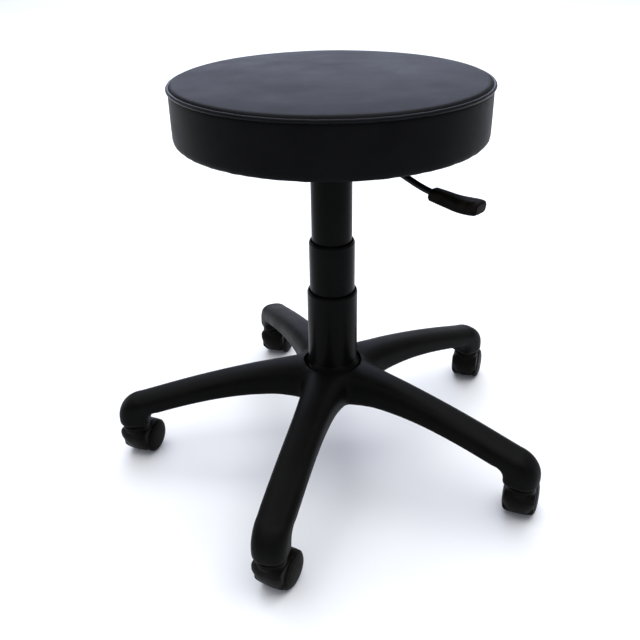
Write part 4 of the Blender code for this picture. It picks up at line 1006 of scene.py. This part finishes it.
@dataclass
class Lever:
    """Height lever: bent, enamelled rod and its moulded paddle."""

    rod_radius: float = 4.0 * MM
    bend_start: float = 10.0 * MM
    fall: float = 27.8 * MM
    handle_slope: float = -0.125
    past_pivot: float = 50.0 * MM
    handle_from_axis: float = 152.0 * MM
    rod_in_handle: float = 30.0 * MM
    bend_in_handle: float = 4.0 * MM
    handle_length: float = 66.0 * MM
    handle_rise: float = 1.3 * MM
    root_width: float = 18.0 * MM
    blade_widens: float = 8.2 * MM
    tip_narrows: float = 0.8 * MM
    root_thickness: float = 14.6 * MM
    blade_thickens: float = 1.8 * MM
    tip_thins: float = 2.2 * MM
    tip_lean: float = 4.4 * MM
    end_rounding: float = 0.20
    end_reach: float = 0.024                  # share of the length that the rounding takes
    end_cap: float = 0.0045                   # share of the length past each end

    def __post_init__(self) -> None:
        """Find the pivot and the lever's direction from its joint."""
        joint = next(j for j in frame["joints"] if j["name"] == "lever_lift")
        pivot = Vector(joint["pos_m"])
        outward = Vector((0.0, 0.0, 1.0)).cross(Vector(joint["axis"])).normalized()
        if outward.dot(middle("lever_handle") - pivot) < 0.0:
            outward = -outward
        across = Vector((0.0, 0.0, 1.0)).cross(outward)
        turn = Matrix((outward, across, (0.0, 0.0, 1.0))).transposed().to_4x4()
        self.place = Matrix.Translation(pivot) @ turn
        self.pivot_reach = (pivot - middle("outer_tube")).xy.length
        self.handle_start = self.handle_from_axis - self.pivot_reach

    def line(self, reach: float) -> Vector:
        """Give the rod's middle line at a reach from the pivot, in the lever's own frame."""
        bend_end = self.handle_start + self.bend_in_handle
        span = bend_end - self.bend_start
        if reach <= self.bend_start:
            return Vector((reach, 0.0, 0.0))
        if reach >= bend_end:
            return Vector((reach, 0.0, -self.fall + (reach - bend_end) * self.handle_slope))
        along = (reach - self.bend_start) / span
        ease = 3.0 * along ** 2 - 2.0 * along ** 3
        tail = (along ** 3 - along ** 2) * span * self.handle_slope
        return Vector((reach, 0.0, -self.fall * ease + tail))

    def paddle(self, share: float) -> list:
        """Give the paddle's section at a share of its length.

        Args:
            share: 0 at the root and 1 at the tip.

        Returns:
            Points as (across, up).
        """
        widening = smooth_step(share, 0.30, 0.80)
        end = min(share, 1.0 - share)
        closing = 1.0 - self.end_rounding * math.exp(-(end / self.end_reach) ** 2)
        closing *= 1.0 if end >= 0.0 else 1.0 + end / self.end_cap
        width = (self.root_width + self.blade_widens * widening
                 - self.tip_narrows * smooth_step(share, 0.9, 1.0)) * closing
        thick = (self.root_thickness + self.blade_thickens * smooth_step(share, 0.0, 0.35)
                 - self.tip_thins * smooth_step(share, 0.85, 1.02)) * closing
        lean = -self.tip_lean * smooth_step(share, 0.40, 1.05) ** 1.4
        return [(a, u + self.handle_rise + lean) for a, u in
                superellipse(width / 2.0, thick / 2.0, 4.2, 40)]

    def build(self) -> None:
        """Build the rod and the paddle on the lever's body."""
        rod_end = self.handle_start + self.rod_in_handle
        reaches = np.linspace(-self.past_pivot, rod_end, 90)
        rod = sweep("lever_bent_rod", [self.line(float(r)) for r in reaches],
                    lambda share: superellipse(self.rod_radius, self.rod_radius, 2.0, 28))
        show("lever_bent_rod", rod, ENAMEL, "lever", ("lever_rod",), self.place)
        shares = np.concatenate([[-0.004, -0.002], np.linspace(0.0, 0.05, 7)[:-1],
                                 np.linspace(0.05, 0.95, 40), np.linspace(0.95, 1.0, 7)[1:],
                                 [1.002, 1.004]])
        path = [self.line(self.handle_start + float(s) * self.handle_length) for s in shares]
        marks = dict(enumerate(shares))
        last = len(path) - 1
        handle = sweep("lever_paddle", path, lambda share: self.paddle(float(marks[round(share * last)])))
        show("lever_paddle", handle, HANDLE_PLASTIC, "lever", ("lever_handle",),
             self.place)


# ---- star base -------------------------------------------------------------------------------

@dataclass
class StarBase:
    """Five moulded arms that flow into a hub, open and ribbed underneath."""

    hub_radius: float = 58.2 * MM
    hub_rim: float = 157.0 * MM
    hub_bottom: float = 99.0 * MM
    ridge_proud: float = 1.0 * MM
    arm_drop: float = 52.0 * MM
    arm_bow: float = 1.42
    arm_width: float = 46.0 * MM
    root_flare: float = 22.0 * MM
    arm_depth: float = 30.0 * MM
    root_depth: float = 21.0 * MM
    knee_setback: float = 11.0 * MM
    crook_setback: float = 37.0 * MM
    boss_radius: float = 22.5 * MM
    boss_bottom: float = 62.0 * MM
    boss_edge_height: float = 5.0 * MM
    boss_edge_width: float = 3.2 * MM
    outer_foot: float = 12.0 * MM             # where the knee ends above the boss, outside and inside
    inner_foot: float = 8.0 * MM
    root_sink: float = 10.0 * MM
    wall: float = 3.6 * MM
    rib: float = 2.2 * MM
    pockets: int = 6
    pocket_inset: float = 1.6 * MM
    pocket_corner: float = 0.8 * MM
    root_clear: float = 14.0 * MM
    boss_clear: float = 12.0 * MM
    fit: float = 0.3 * MM
    overrun: float = 20.0 * MM                # how far the cutters run past the underside
    socket_radius: float = 5.9 * MM
    socket_rise: float = 28.0 * MM
    flange_depth: float = 4.0 * MM
    crotch_from: tuple[float, float] = (40.0 * MM, 52.0 * MM)
    crotch_to: tuple[float, float] = (78.0 * MM, 118.0 * MM)
    crotch_passes: int = 90
    around: int = 44
    voxel: float = 1.7 * MM

    def __post_init__(self) -> None:
        """Read the arms' directions and reach from the casters' stems."""
        self.place = column_place()
        axis = self.place.translation
        stems = [middle(f"caster_stem_{i + 1}") - axis for i in range(CASTER_COUNT)]
        self.stem_circle = sum(s.xy.length for s in stems) / CASTER_COUNT
        self.turns = [math.atan2(s.y, s.x) for s in stems]

    def ridge(self, radius: float) -> tuple[float, float, float]:
        """Give an arm's ridge height, depth and width at a distance from the axis."""
        root = self.hub_radius - self.root_sink
        knee = self.stem_circle - self.knee_setback
        along = min(max((radius - root) / (knee - root), 0.0), 1.0)
        top = self.hub_rim + self.ridge_proud - (self.arm_drop - self.ridge_proud) * along ** self.arm_bow
        depth = self.arm_depth + self.root_depth * (1.0 - along) ** 2.7
        width = self.arm_width + self.root_flare * (1.0 - along) ** 6
        return top, depth, width

    def section(self, outer: tuple, inner: tuple, width: float) -> list:
        """Make one ring of an arm: round over its ridge, squarer at its lower edges.

        Args:
            outer: (distance, height) on the ridge side.
            inner: (distance, height) on the underside.
            width: the arm's width there.

        Returns:
            The ring's points.
        """
        top = Vector((outer[0], 0.0, outer[1]))
        under = Vector((inner[0], 0.0, inner[1]))
        centre = (top + under) / 2.0
        upward = (top - under) / 2.0
        ring = []
        for i in range(self.around):
            angle = TAU * (i + 0.5) / self.around
            rise, across = math.sin(angle), math.cos(angle)
            square, side = (0.9, 0.75) if rise > 0.0 else (0.45, 0.4)
            ring.append(centre + upward * math.copysign(abs(rise) ** square, rise)
                        + Vector((0.0, math.copysign(abs(across) ** side, across) * width / 2.0, 0.0)))
        return ring

    def arm(self) -> bpy.types.Mesh:
        """Loft one arm along +X, from inside the hub over the knee to the foot of its boss."""
        rings = []
        crook = self.stem_circle - self.crook_setback
        knee = self.stem_circle - self.knee_setback
        for radius in np.linspace(self.hub_radius / 3.0, crook, 34):
            top, depth, width = self.ridge(float(radius))
            rings.append(self.section((radius, top), (radius, top - depth), width))
        foot, crook_foot = self.boss_bottom + self.outer_foot, self.boss_bottom + self.inner_foot
        knee_rise = self.ridge(knee)[0] - foot
        crook_rise = self.ridge(crook)[0] - self.arm_depth - crook_foot
        for i in range(1, 17):
            angle = math.radians(90.0 * i / 16.0)
            outer = (knee + (self.stem_circle + self.boss_radius - knee) * math.sin(angle),
                     foot + knee_rise * math.cos(angle))
            inner = (crook + (self.stem_circle - self.boss_radius - crook) * math.sin(angle),
                     crook_foot + crook_rise * math.cos(angle))
            rings.append(self.section(outer, inner, 2.0 * self.boss_radius))
        for i in range(7):
            angle = math.radians(90.0 * i / 6.0)
            height = self.boss_bottom + self.boss_edge_height * (1.0 - math.sin(angle))
            radius = self.boss_radius - self.boss_edge_width * (1.0 - math.cos(angle))
            rings.append(self.section((self.stem_circle + radius, height),
                                      (self.stem_circle - radius, height), 2.0 * radius))
        return grid_mesh("arm", np.array(rings, float), wrap_rows=False, caps=True)

    def hub(self) -> bpy.types.Mesh:
        """Turn the solid hub that the arms grow from."""
        rim, low, radius = self.hub_rim, self.hub_bottom, self.hub_radius
        outline = rounded([(0.0, low, 0.0), (40.0 * MM, low, 3.0 * MM),
                           (radius - 6.0 * MM, low + 9.5 * MM, 6.0 * MM),
                           (radius, low + 18.0 * MM, 6.0 * MM), (radius, rim - 20.0 * MM, 12.0 * MM),
                           (radius - 9.0 * MM, rim - 1.0 * MM, 9.0 * MM),
                           (0.0, rim + 1.5 * MM, 0.0)], closed=False)
        return lathe("hub", outline, 128)

    def blended(self) -> bpy.types.Mesh:
        """Fuse hub and arms, then smooth the crotches between them into fillets."""
        places = [Matrix.Rotation(turn, 4, "Z") for turn in self.turns]
        whole = joined("star_base", [self.hub()] + [self.arm()] * CASTER_COUNT,
                       [Matrix.Identity(4)] + places)
        whole = with_modifiers(whole, ("REMESH", {"mode": "VOXEL", "voxel_size": self.voxel}),
                               ("SMOOTH", {"factor": 0.5, "iterations": 6}))
        where = points_of(whole)
        reach = np.hypot(where[:, 0], where[:, 1])
        share = smooth_step(reach, *self.crotch_from) * (1.0 - smooth_step(reach, *self.crotch_to))
        low = self.hub_bottom
        share *= 0.12 + 0.88 * smooth_step(where[:, 2], low + 8.0 * MM, low + 26.0 * MM)
        settings = {"factor": 0.5, "iterations": self.crotch_passes, "vertex_group": "share"}
        return with_modifiers(whole, ("SMOOTH", settings), weights=share)

    def pocket(self, start: float, end: float) -> bpy.types.Mesh:
        """Make the cutter for one open pocket of an arm's underside, with soft corners."""
        rings = []
        inset, corner = self.pocket_inset, self.pocket_corner
        stations = ((start, inset), (start + corner, 0.0), (end - corner, 0.0), (end, inset))
        for radius, pull in stations:
            top, depth, width = self.ridge(radius)
            half = width / 2.0 - self.wall - pull
            roof = top - self.wall - 1.0 * MM - pull
            low = top - depth - 10.0 * MM
            shoulder, flat = roof - 7.0 * MM, half * 0.55
            outline = rounded([(half, low, 0.0), (half, shoulder, 3.0 * MM), (flat, roof, 4.0 * MM),
                               (-flat, roof, 4.0 * MM), (-half, shoulder, 3.0 * MM), (-half, low, 0.0)],
                              closed=False, steps=4)
            rings.append([(radius, y, z) for y, z in outline])
        return grid_mesh("pocket", np.array(rings, float), wrap_rows=False, caps=True)

    def bore(self) -> bpy.types.Mesh:
        """Turn the cutter for the hub's taper, its sleeve recess and its ring seat."""
        tube = half_width("outer_tube") + self.fit
        ring = half_width("hub_ring") + self.fit
        recess = half_width("lower_sleeve") + 1.0 * MM
        recess_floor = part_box("lower_sleeve")[0].z - self.fit
        ring_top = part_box("hub_ring")[1].z + self.fit
        low, mouth = self.hub_bottom - self.overrun, recess + 3.5 * MM
        rim, high = self.hub_rim, self.hub_rim + 30.0 * MM
        outline = rounded([(0.0, low, 0.0), (ring, low, 0.0), (ring, ring_top, 0.0),
                           (tube - 0.7 * MM, ring_top, 0.0), (tube, recess_floor, 0.0),
                           (recess, recess_floor, 0.6 * MM), (recess, rim - 2.0 * MM, 0.0),
                           (mouth, rim + 4.0 * MM, 0.0), (mouth, high, 0.0), (0.0, high, 0.0)],
                          closed=False)
        return lathe("hub_bore", outline, 128)

    def build(self) -> None:
        """Build the base as one moulding."""
        whole = cut(self.blended(), self.bore())
        start = self.hub_radius + self.root_clear
        end = self.stem_circle - self.boss_radius - self.boss_clear
        pitch = (end - start) / self.pockets
        cutters = [self.pocket(start + pitch * i, start + pitch * (i + 1) - self.rib)
                   for i in range(self.pockets)]
        flange, stem = half_width("caster_stem_1"), self.socket_radius
        low, flange_top = self.boss_bottom - self.overrun, self.boss_bottom + self.flange_depth
        high = middle("caster_stem_1").z + self.socket_rise
        socket = lathe("socket", [(0.0, low), (flange, low), (flange, flange_top),
                                  (stem, flange_top), (stem, high), (0.0, high)], 40)
        meshes, places = [], []
        for turn in self.turns:
            spin = Matrix.Rotation(turn, 4, "Z")
            meshes += cutters + [socket]
            places += [spin] * len(cutters) + [spin @ Matrix.Translation((self.stem_circle, 0.0, 0.0))]
        whole = tidy_mesh(cut(whole, joined("cutters", meshes, places)), 50.0)
        whole.name = "star_base_moulding"
        show("star_base_moulding", whole, BASE_NYLON, "base", ("star_base",), self.place)


# ---- casters ---------------------------------------------------------------------------------

@dataclass
class Caster:
    """Twin-wheel caster: swept hood with its collar, and two domed wheels."""

    trail: float = 19.0 * MM
    collar_radius: float = 19.5 * MM
    collar_height: float = 8.8 * MM
    half_width: float = 14.8 * MM
    wall: float = 2.7 * MM
    clearance: float = 0.4 * MM
    web_half: float = 7.6 * MM
    lip: float = 1.2 * MM
    swell: float = 14.6 * MM
    swell_power: float = 1.7
    skirt_half: float = 20.5 * MM
    skirt_gap: float = 1.1 * MM
    skirt_lip: float = 2.9 * MM
    skirt_wall: float = 1.7 * MM
    skirt_rounding: float = 5.6 * MM
    skirt_rise: float = 16.0
    lip_angle: float = 211.0
    sweep_angle: float = 54.0
    rounding: float = 2.4 * MM
    voxel: float = 0.75 * MM
    wheel_inner: float = 8.0 * MM
    disc_inner: float = 15.3 * MM
    wheel_outer: float = 24.0 * MM
    drum_radius: float = 21.5 * MM
    axle_radius: float = 3.4 * MM
    axle_depth: float = 4.0 * MM

    def __post_init__(self) -> None:
        """Read the wheel's radius and the hood's height from the frame."""
        low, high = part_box("wheel_left_1")
        self.wheel_radius = (high.z - low.z) / 2.0
        self.hood_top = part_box("caster_hood_1")[1].z

    def hood_outline(self, shift: float) -> list:
        """Give the hood's side view.

        Args:
            shift: how far the apron is drawn back, which rounds the hood in plan.

        Returns:
            The closed (x, z) outline.
        """
        wheel, trail = self.wheel_radius, self.trail
        foot = self.hood_top - self.collar_height
        outline = arc((trail, wheel), wheel + self.clearance, -12.0, 96.0, 26)
        outline += [(x, self.hood_top - 5.0 * MM) for x in (13.0 * MM, -11.0 * MM + shift)]
        outline.append((-self.collar_radius + 1.2 * MM + shift, foot + 1.0 * MM))
        for share in np.linspace(1.0, 0.0, 12):
            angle = math.radians(self.lip_angle - self.sweep_angle * share)
            reach = wheel + self.lip + self.swell * share ** self.swell_power - shift
            outline.append((trail + reach * math.cos(angle), wheel + reach * math.sin(angle)))
        inside = wheel - self.wall
        outline += arc((trail, wheel), inside, self.lip_angle + 3.0, 334.0, 12)
        return outline

    def skirt_outline(self, share: float) -> list:
        """Give the side view of the skirt that hangs over both wheels' treads.

        Args:
            share: how far out to the side it is, from 0 in the middle to 1.

        Returns:
            The closed (x, z) outline.
        """
        wheel, trail = self.wheel_radius, self.trail
        inner = wheel + self.skirt_gap
        shift = self.skirt_rounding * share ** 3.6
        lip_angle = self.lip_angle - self.skirt_rise * share ** 4
        outline = arc((trail, wheel), inner, 92.0, lip_angle, 24)
        for along in np.linspace(0.0, 1.0, 14):
            angle = math.radians(lip_angle + (self.lip_angle - self.sweep_angle - lip_angle) * along)
            proud = (self.swell - self.skirt_lip + self.lip) * along ** self.swell_power
            reach = wheel + self.skirt_lip + proud
            reach = max(reach - shift, inner + self.skirt_wall)
            outline.append((trail + reach * math.cos(angle), wheel + reach * math.sin(angle)))
        x, z = outline[-1]
        brow = max(self.hood_top - 6.0 * MM - 0.9 * shift, z + 0.5 * MM)
        over = [(x, z, 0.0), (x - 0.1 * MM, brow, 12.0 * MM), (trail - 1.0 * MM, brow, 0.0)]
        return outline + rounded(over, closed=False)[1:]

    def skirt(self) -> bpy.types.Mesh:
        """Loft the skirt across both wheels, rounded off towards its sides."""
        rings = []
        for share in np.concatenate([[-1.0], np.sin(np.linspace(-1.45, 1.45, 25)), [1.0]]):
            rings.append([(x, share * self.skirt_half, z) for x, z in self.skirt_outline(abs(share))])
        return grid_mesh("hood_skirt", np.array(rings, float), wrap_rows=False, caps=True)

    def hood(self) -> bpy.types.Mesh:
        """Build the hood about its stem, as one smooth moulding."""
        rings = []
        for y in np.concatenate([[-self.half_width], np.linspace(-0.965, 0.965, 15) * self.half_width,
                                 [self.half_width]]):
            share = min(abs(y) / self.half_width, 1.0)
            rings.append([(x, y, z) for x, z in self.hood_outline(self.rounding * share ** 4)])
        body = grid_mesh("hood_body", np.array(rings, float), wrap_rows=False, caps=True)
        radius, top = self.collar_radius, self.hood_top
        foot = top - self.collar_height - 1.5 * MM
        outline = [(0.0, foot, 0.0), (radius, foot, 2.0 * MM), (radius, top, 1.8 * MM), (0.0, top, 0.0)]
        collar = lathe("hood_collar", rounded(outline, closed=False), 72)
        parts = [body, collar, self.skirt()]
        whole = joined("caster_hood_moulding", parts, [Matrix.Identity(4)] * len(parts))
        whole = with_modifiers(whole, ("REMESH", {"mode": "VOXEL", "voxel_size": self.voxel}),
                               ("SMOOTH", {"factor": 0.5, "iterations": 5}))
        inside = self.wheel_radius + self.clearance - self.wall
        web, out = self.web_half, self.half_width + 5.0 * MM
        outline = [(0.0, web, 0.0), (inside, web, 1.0 * MM), (inside, out, 0.0), (0.0, out, 0.0)]
        pocket = lathe("wheel_hollow", rounded(outline, closed=False), 96)
        seat = Matrix.Translation((self.trail, 0.0, self.wheel_radius))
        places = [seat @ Matrix.Rotation(math.radians(quarter), 4, "X") for quarter in (90.0, -90.0)]
        whole = tidy_mesh(cut(whole, joined("hollows", [pocket] * 2, places)), 40.0)
        whole.name = "caster_hood_moulding"
        return whole

    def wheel(self, side: float) -> bpy.types.Mesh:
        """Turn one wheel about its axle along Y: slim drum, full-size tread, domed disc.

        Args:
            side: 1 for the left wheel and -1 for the right one.

        Returns:
            The wheel's mesh about the axle's middle.
        """
        radius, outer, drum = self.wheel_radius, self.wheel_outer, self.drum_radius
        inner, disc, axle = self.wheel_inner, self.disc_inner, self.axle_radius
        corners = [(axle, inner, 0.3 * MM), (drum, inner, 0.6 * MM), (drum, disc, 0.2 * MM),
                   (radius - 0.3 * MM, disc, 0.3 * MM), (radius, disc + 0.9 * MM, 0.6 * MM),
                   (radius, disc + 3.6 * MM, 2.2 * MM), (radius - 3.6 * MM, outer - 2.3 * MM, 3.0 * MM),
                   (radius * 0.60, outer - 0.6 * MM, 24.0 * MM), (radius * 0.24, outer, 24.0 * MM),
                   (0.0, outer, 0.0)]
        inside = [(0.0, outer - self.axle_depth), (axle, outer - self.axle_depth)]
        mesh = lathe("wheel", inside + rounded(corners, closed=False), 112)
        mesh.transform(Matrix.Rotation(math.radians(-90.0 * side), 4, "X"))
        return tidy_mesh(mesh)

    def build(self) -> None:
        """Build the five casters where the frame has them."""
        hood = self.hood()
        wheels = {"left": self.wheel(1.0), "right": self.wheel(-1.0)}
        for number in range(1, CASTER_COUNT + 1):
            stem = middle(f"caster_stem_{number}")
            axle = middle(f"caster_axle_{number}")
            turn = math.atan2(axle.y - stem.y, axle.x - stem.x)
            spin = Matrix.Rotation(turn, 4, "Z")
            show(f"hood_moulding_{number}", hood, CASTER_NYLON, f"caster_{number}",
                 (f"caster_hood_{number}",), Matrix.Translation((stem.x, stem.y, 0.0)) @ spin)
            for side, mesh in wheels.items():
                node = f"wheel_{side}_{number}"
                show(f"{node}_turned", mesh, WHEEL_NYLON, node, (node,),
                     Matrix.Translation(axle) @ spin)


# ---- frame solids and set --------------------------------------------------------------------

class Hardware:
    """The frame's own solids. Those that no piece replaces are metal, bushes, board and fasteners."""

    def build(self) -> None:
        """Give each frame solid the finish of its material slot."""
        slots = {part["node"]: part["material_slot"] for part in frame["record"]["subparts"]}
        for name, item in frame["nodes"].items():
            finish = FINISH_OF_SLOT[slots[name]]
            item.data.materials.clear()
            item.data.materials.append(finish.material())
            log.info("%s keeps its solid: %s", name, finish.name)


@dataclass
class Studio:
    """Pale floor, soft light all round with a window-like sheet behind, and the camera."""

    floor_size: float = 40.0
    floor_gap: float = 0.1 * MM
    sky: str = "#E9EDF5"
    sky_strength: float = 0.6
    camera_place: tuple[float, float, float] = (-0.0531, -0.9567, 0.7423)
    camera_yaw: float = 2.1153
    camera_pitch: float = -28.538
    camera_roll: float = -0.9815
    lens: float = 43.33

    def build_floor(self) -> None:
        """Lay the floor that the stool stands on."""
        half = self.floor_size / 2.0
        ticks = np.linspace(-half, half, 9)
        rows = np.array([[(x, y, CAD_BOX[0].z - self.floor_gap) for x in ticks] for y in ticks])
        mesh = grid_mesh("floor", rows, wrap_rows=False, wrap_columns=False)
        floor = bpy.data.objects.new("floor", mesh)
        bpy.context.scene.collection.objects.link(floor)
        mesh.materials.append(FLOOR.material())

    def light(self, name: str, place: tuple, aim: tuple, size: tuple, power: float, colour: str) -> None:
        """Hang one soft rectangular light.

        Args:
            name: the light's name.
            place: its middle.
            aim: the point that it faces.
            size: its width and height.
            power: watts.
            colour: sRGB hex.
        """
        data = bpy.data.lights.new(name, "AREA")
        data.shape = "RECTANGLE"
        data.size, data.size_y = size
        data.energy = power
        data.color = linear(colour)[:3]
        item = bpy.data.objects.new(name, data)
        bpy.context.scene.collection.objects.link(item)
        item.location = place
        item.rotation_euler = (Vector(aim) - Vector(place)).to_track_quat("-Z", "Y").to_euler()

    def build_light(self) -> None:
        """Light the set: an even sky, a broad sheet behind, and softer ones left and above."""
        scene = bpy.context.scene
        world = bpy.data.worlds.new("pale_sky")
        scene.world = world
        world.use_nodes = True
        backdrop = world.node_tree.nodes["Background"]
        backdrop.inputs["Color"].default_value = linear(self.sky)
        backdrop.inputs["Strength"].default_value = self.sky_strength
        self.light("sheet_behind", (0.0, 7.5, 3.9), (0.0, 0.0, 0.45), (6.4, 5.5), 245.0, "#D6DFFF")
        self.light("sheet_above", (0.3, 0.6, 4.6), (0.3, 0.6, 0.0), (6.0, 6.0), 320.0, "#FFFFFF")
        self.light("strip_left", (-4.0, 1.8, 1.1), (0.0, 0.0, 0.35), (0.7, 2.2), 7.0, "#FFF8F0")
        self.light("strip_right", (4.0, 1.8, 1.1), (0.0, 0.0, 0.35), (0.6, 2.2), 1.5, "#FFF8F0")

    def build_camera(self) -> None:
        """Set the camera up where the stool is seen from a little above its seat."""
        data = bpy.data.cameras.new("camera")
        data.lens = self.lens
        data.sensor_width = 36.0
        item = bpy.data.objects.new("camera", data)
        bpy.context.scene.collection.objects.link(item)
        axis = middle("outer_tube")
        place = Vector(self.camera_place) + Vector((axis.x, axis.y, 0.0))
        turn = (Matrix.Rotation(-math.radians(self.camera_yaw), 4, "Z")
                @ Matrix.Rotation(math.radians(90.0 + self.camera_pitch), 4, "X")
                @ Matrix.Rotation(math.radians(self.camera_roll), 4, "Z"))
        item.matrix_world = Matrix.Translation(place) @ turn
        bpy.context.scene.camera = item

    def build(self) -> None:
        """Build the floor, the lights and the camera."""
        self.build_floor()
        self.build_light()
        self.build_camera()
        bpy.context.scene.view_settings.view_transform = "Standard"


def write_sizes() -> None:
    """Update the view layer."""
    bpy.context.view_layer.update()


def main() -> None:
    """Build the stool from the floor up, then the set round it."""
    logging.basicConfig(level=logging.INFO, format="%(name)s: %(message)s")
    for assembly in (Hardware(), StarBase(), Caster(), ColumnCover(), Lever(), Cushion(), Studio()):
        log.info("building %s", type(assembly).__name__)
        assembly.build()
    write_sizes()


if __name__ == "__main__":
    main()
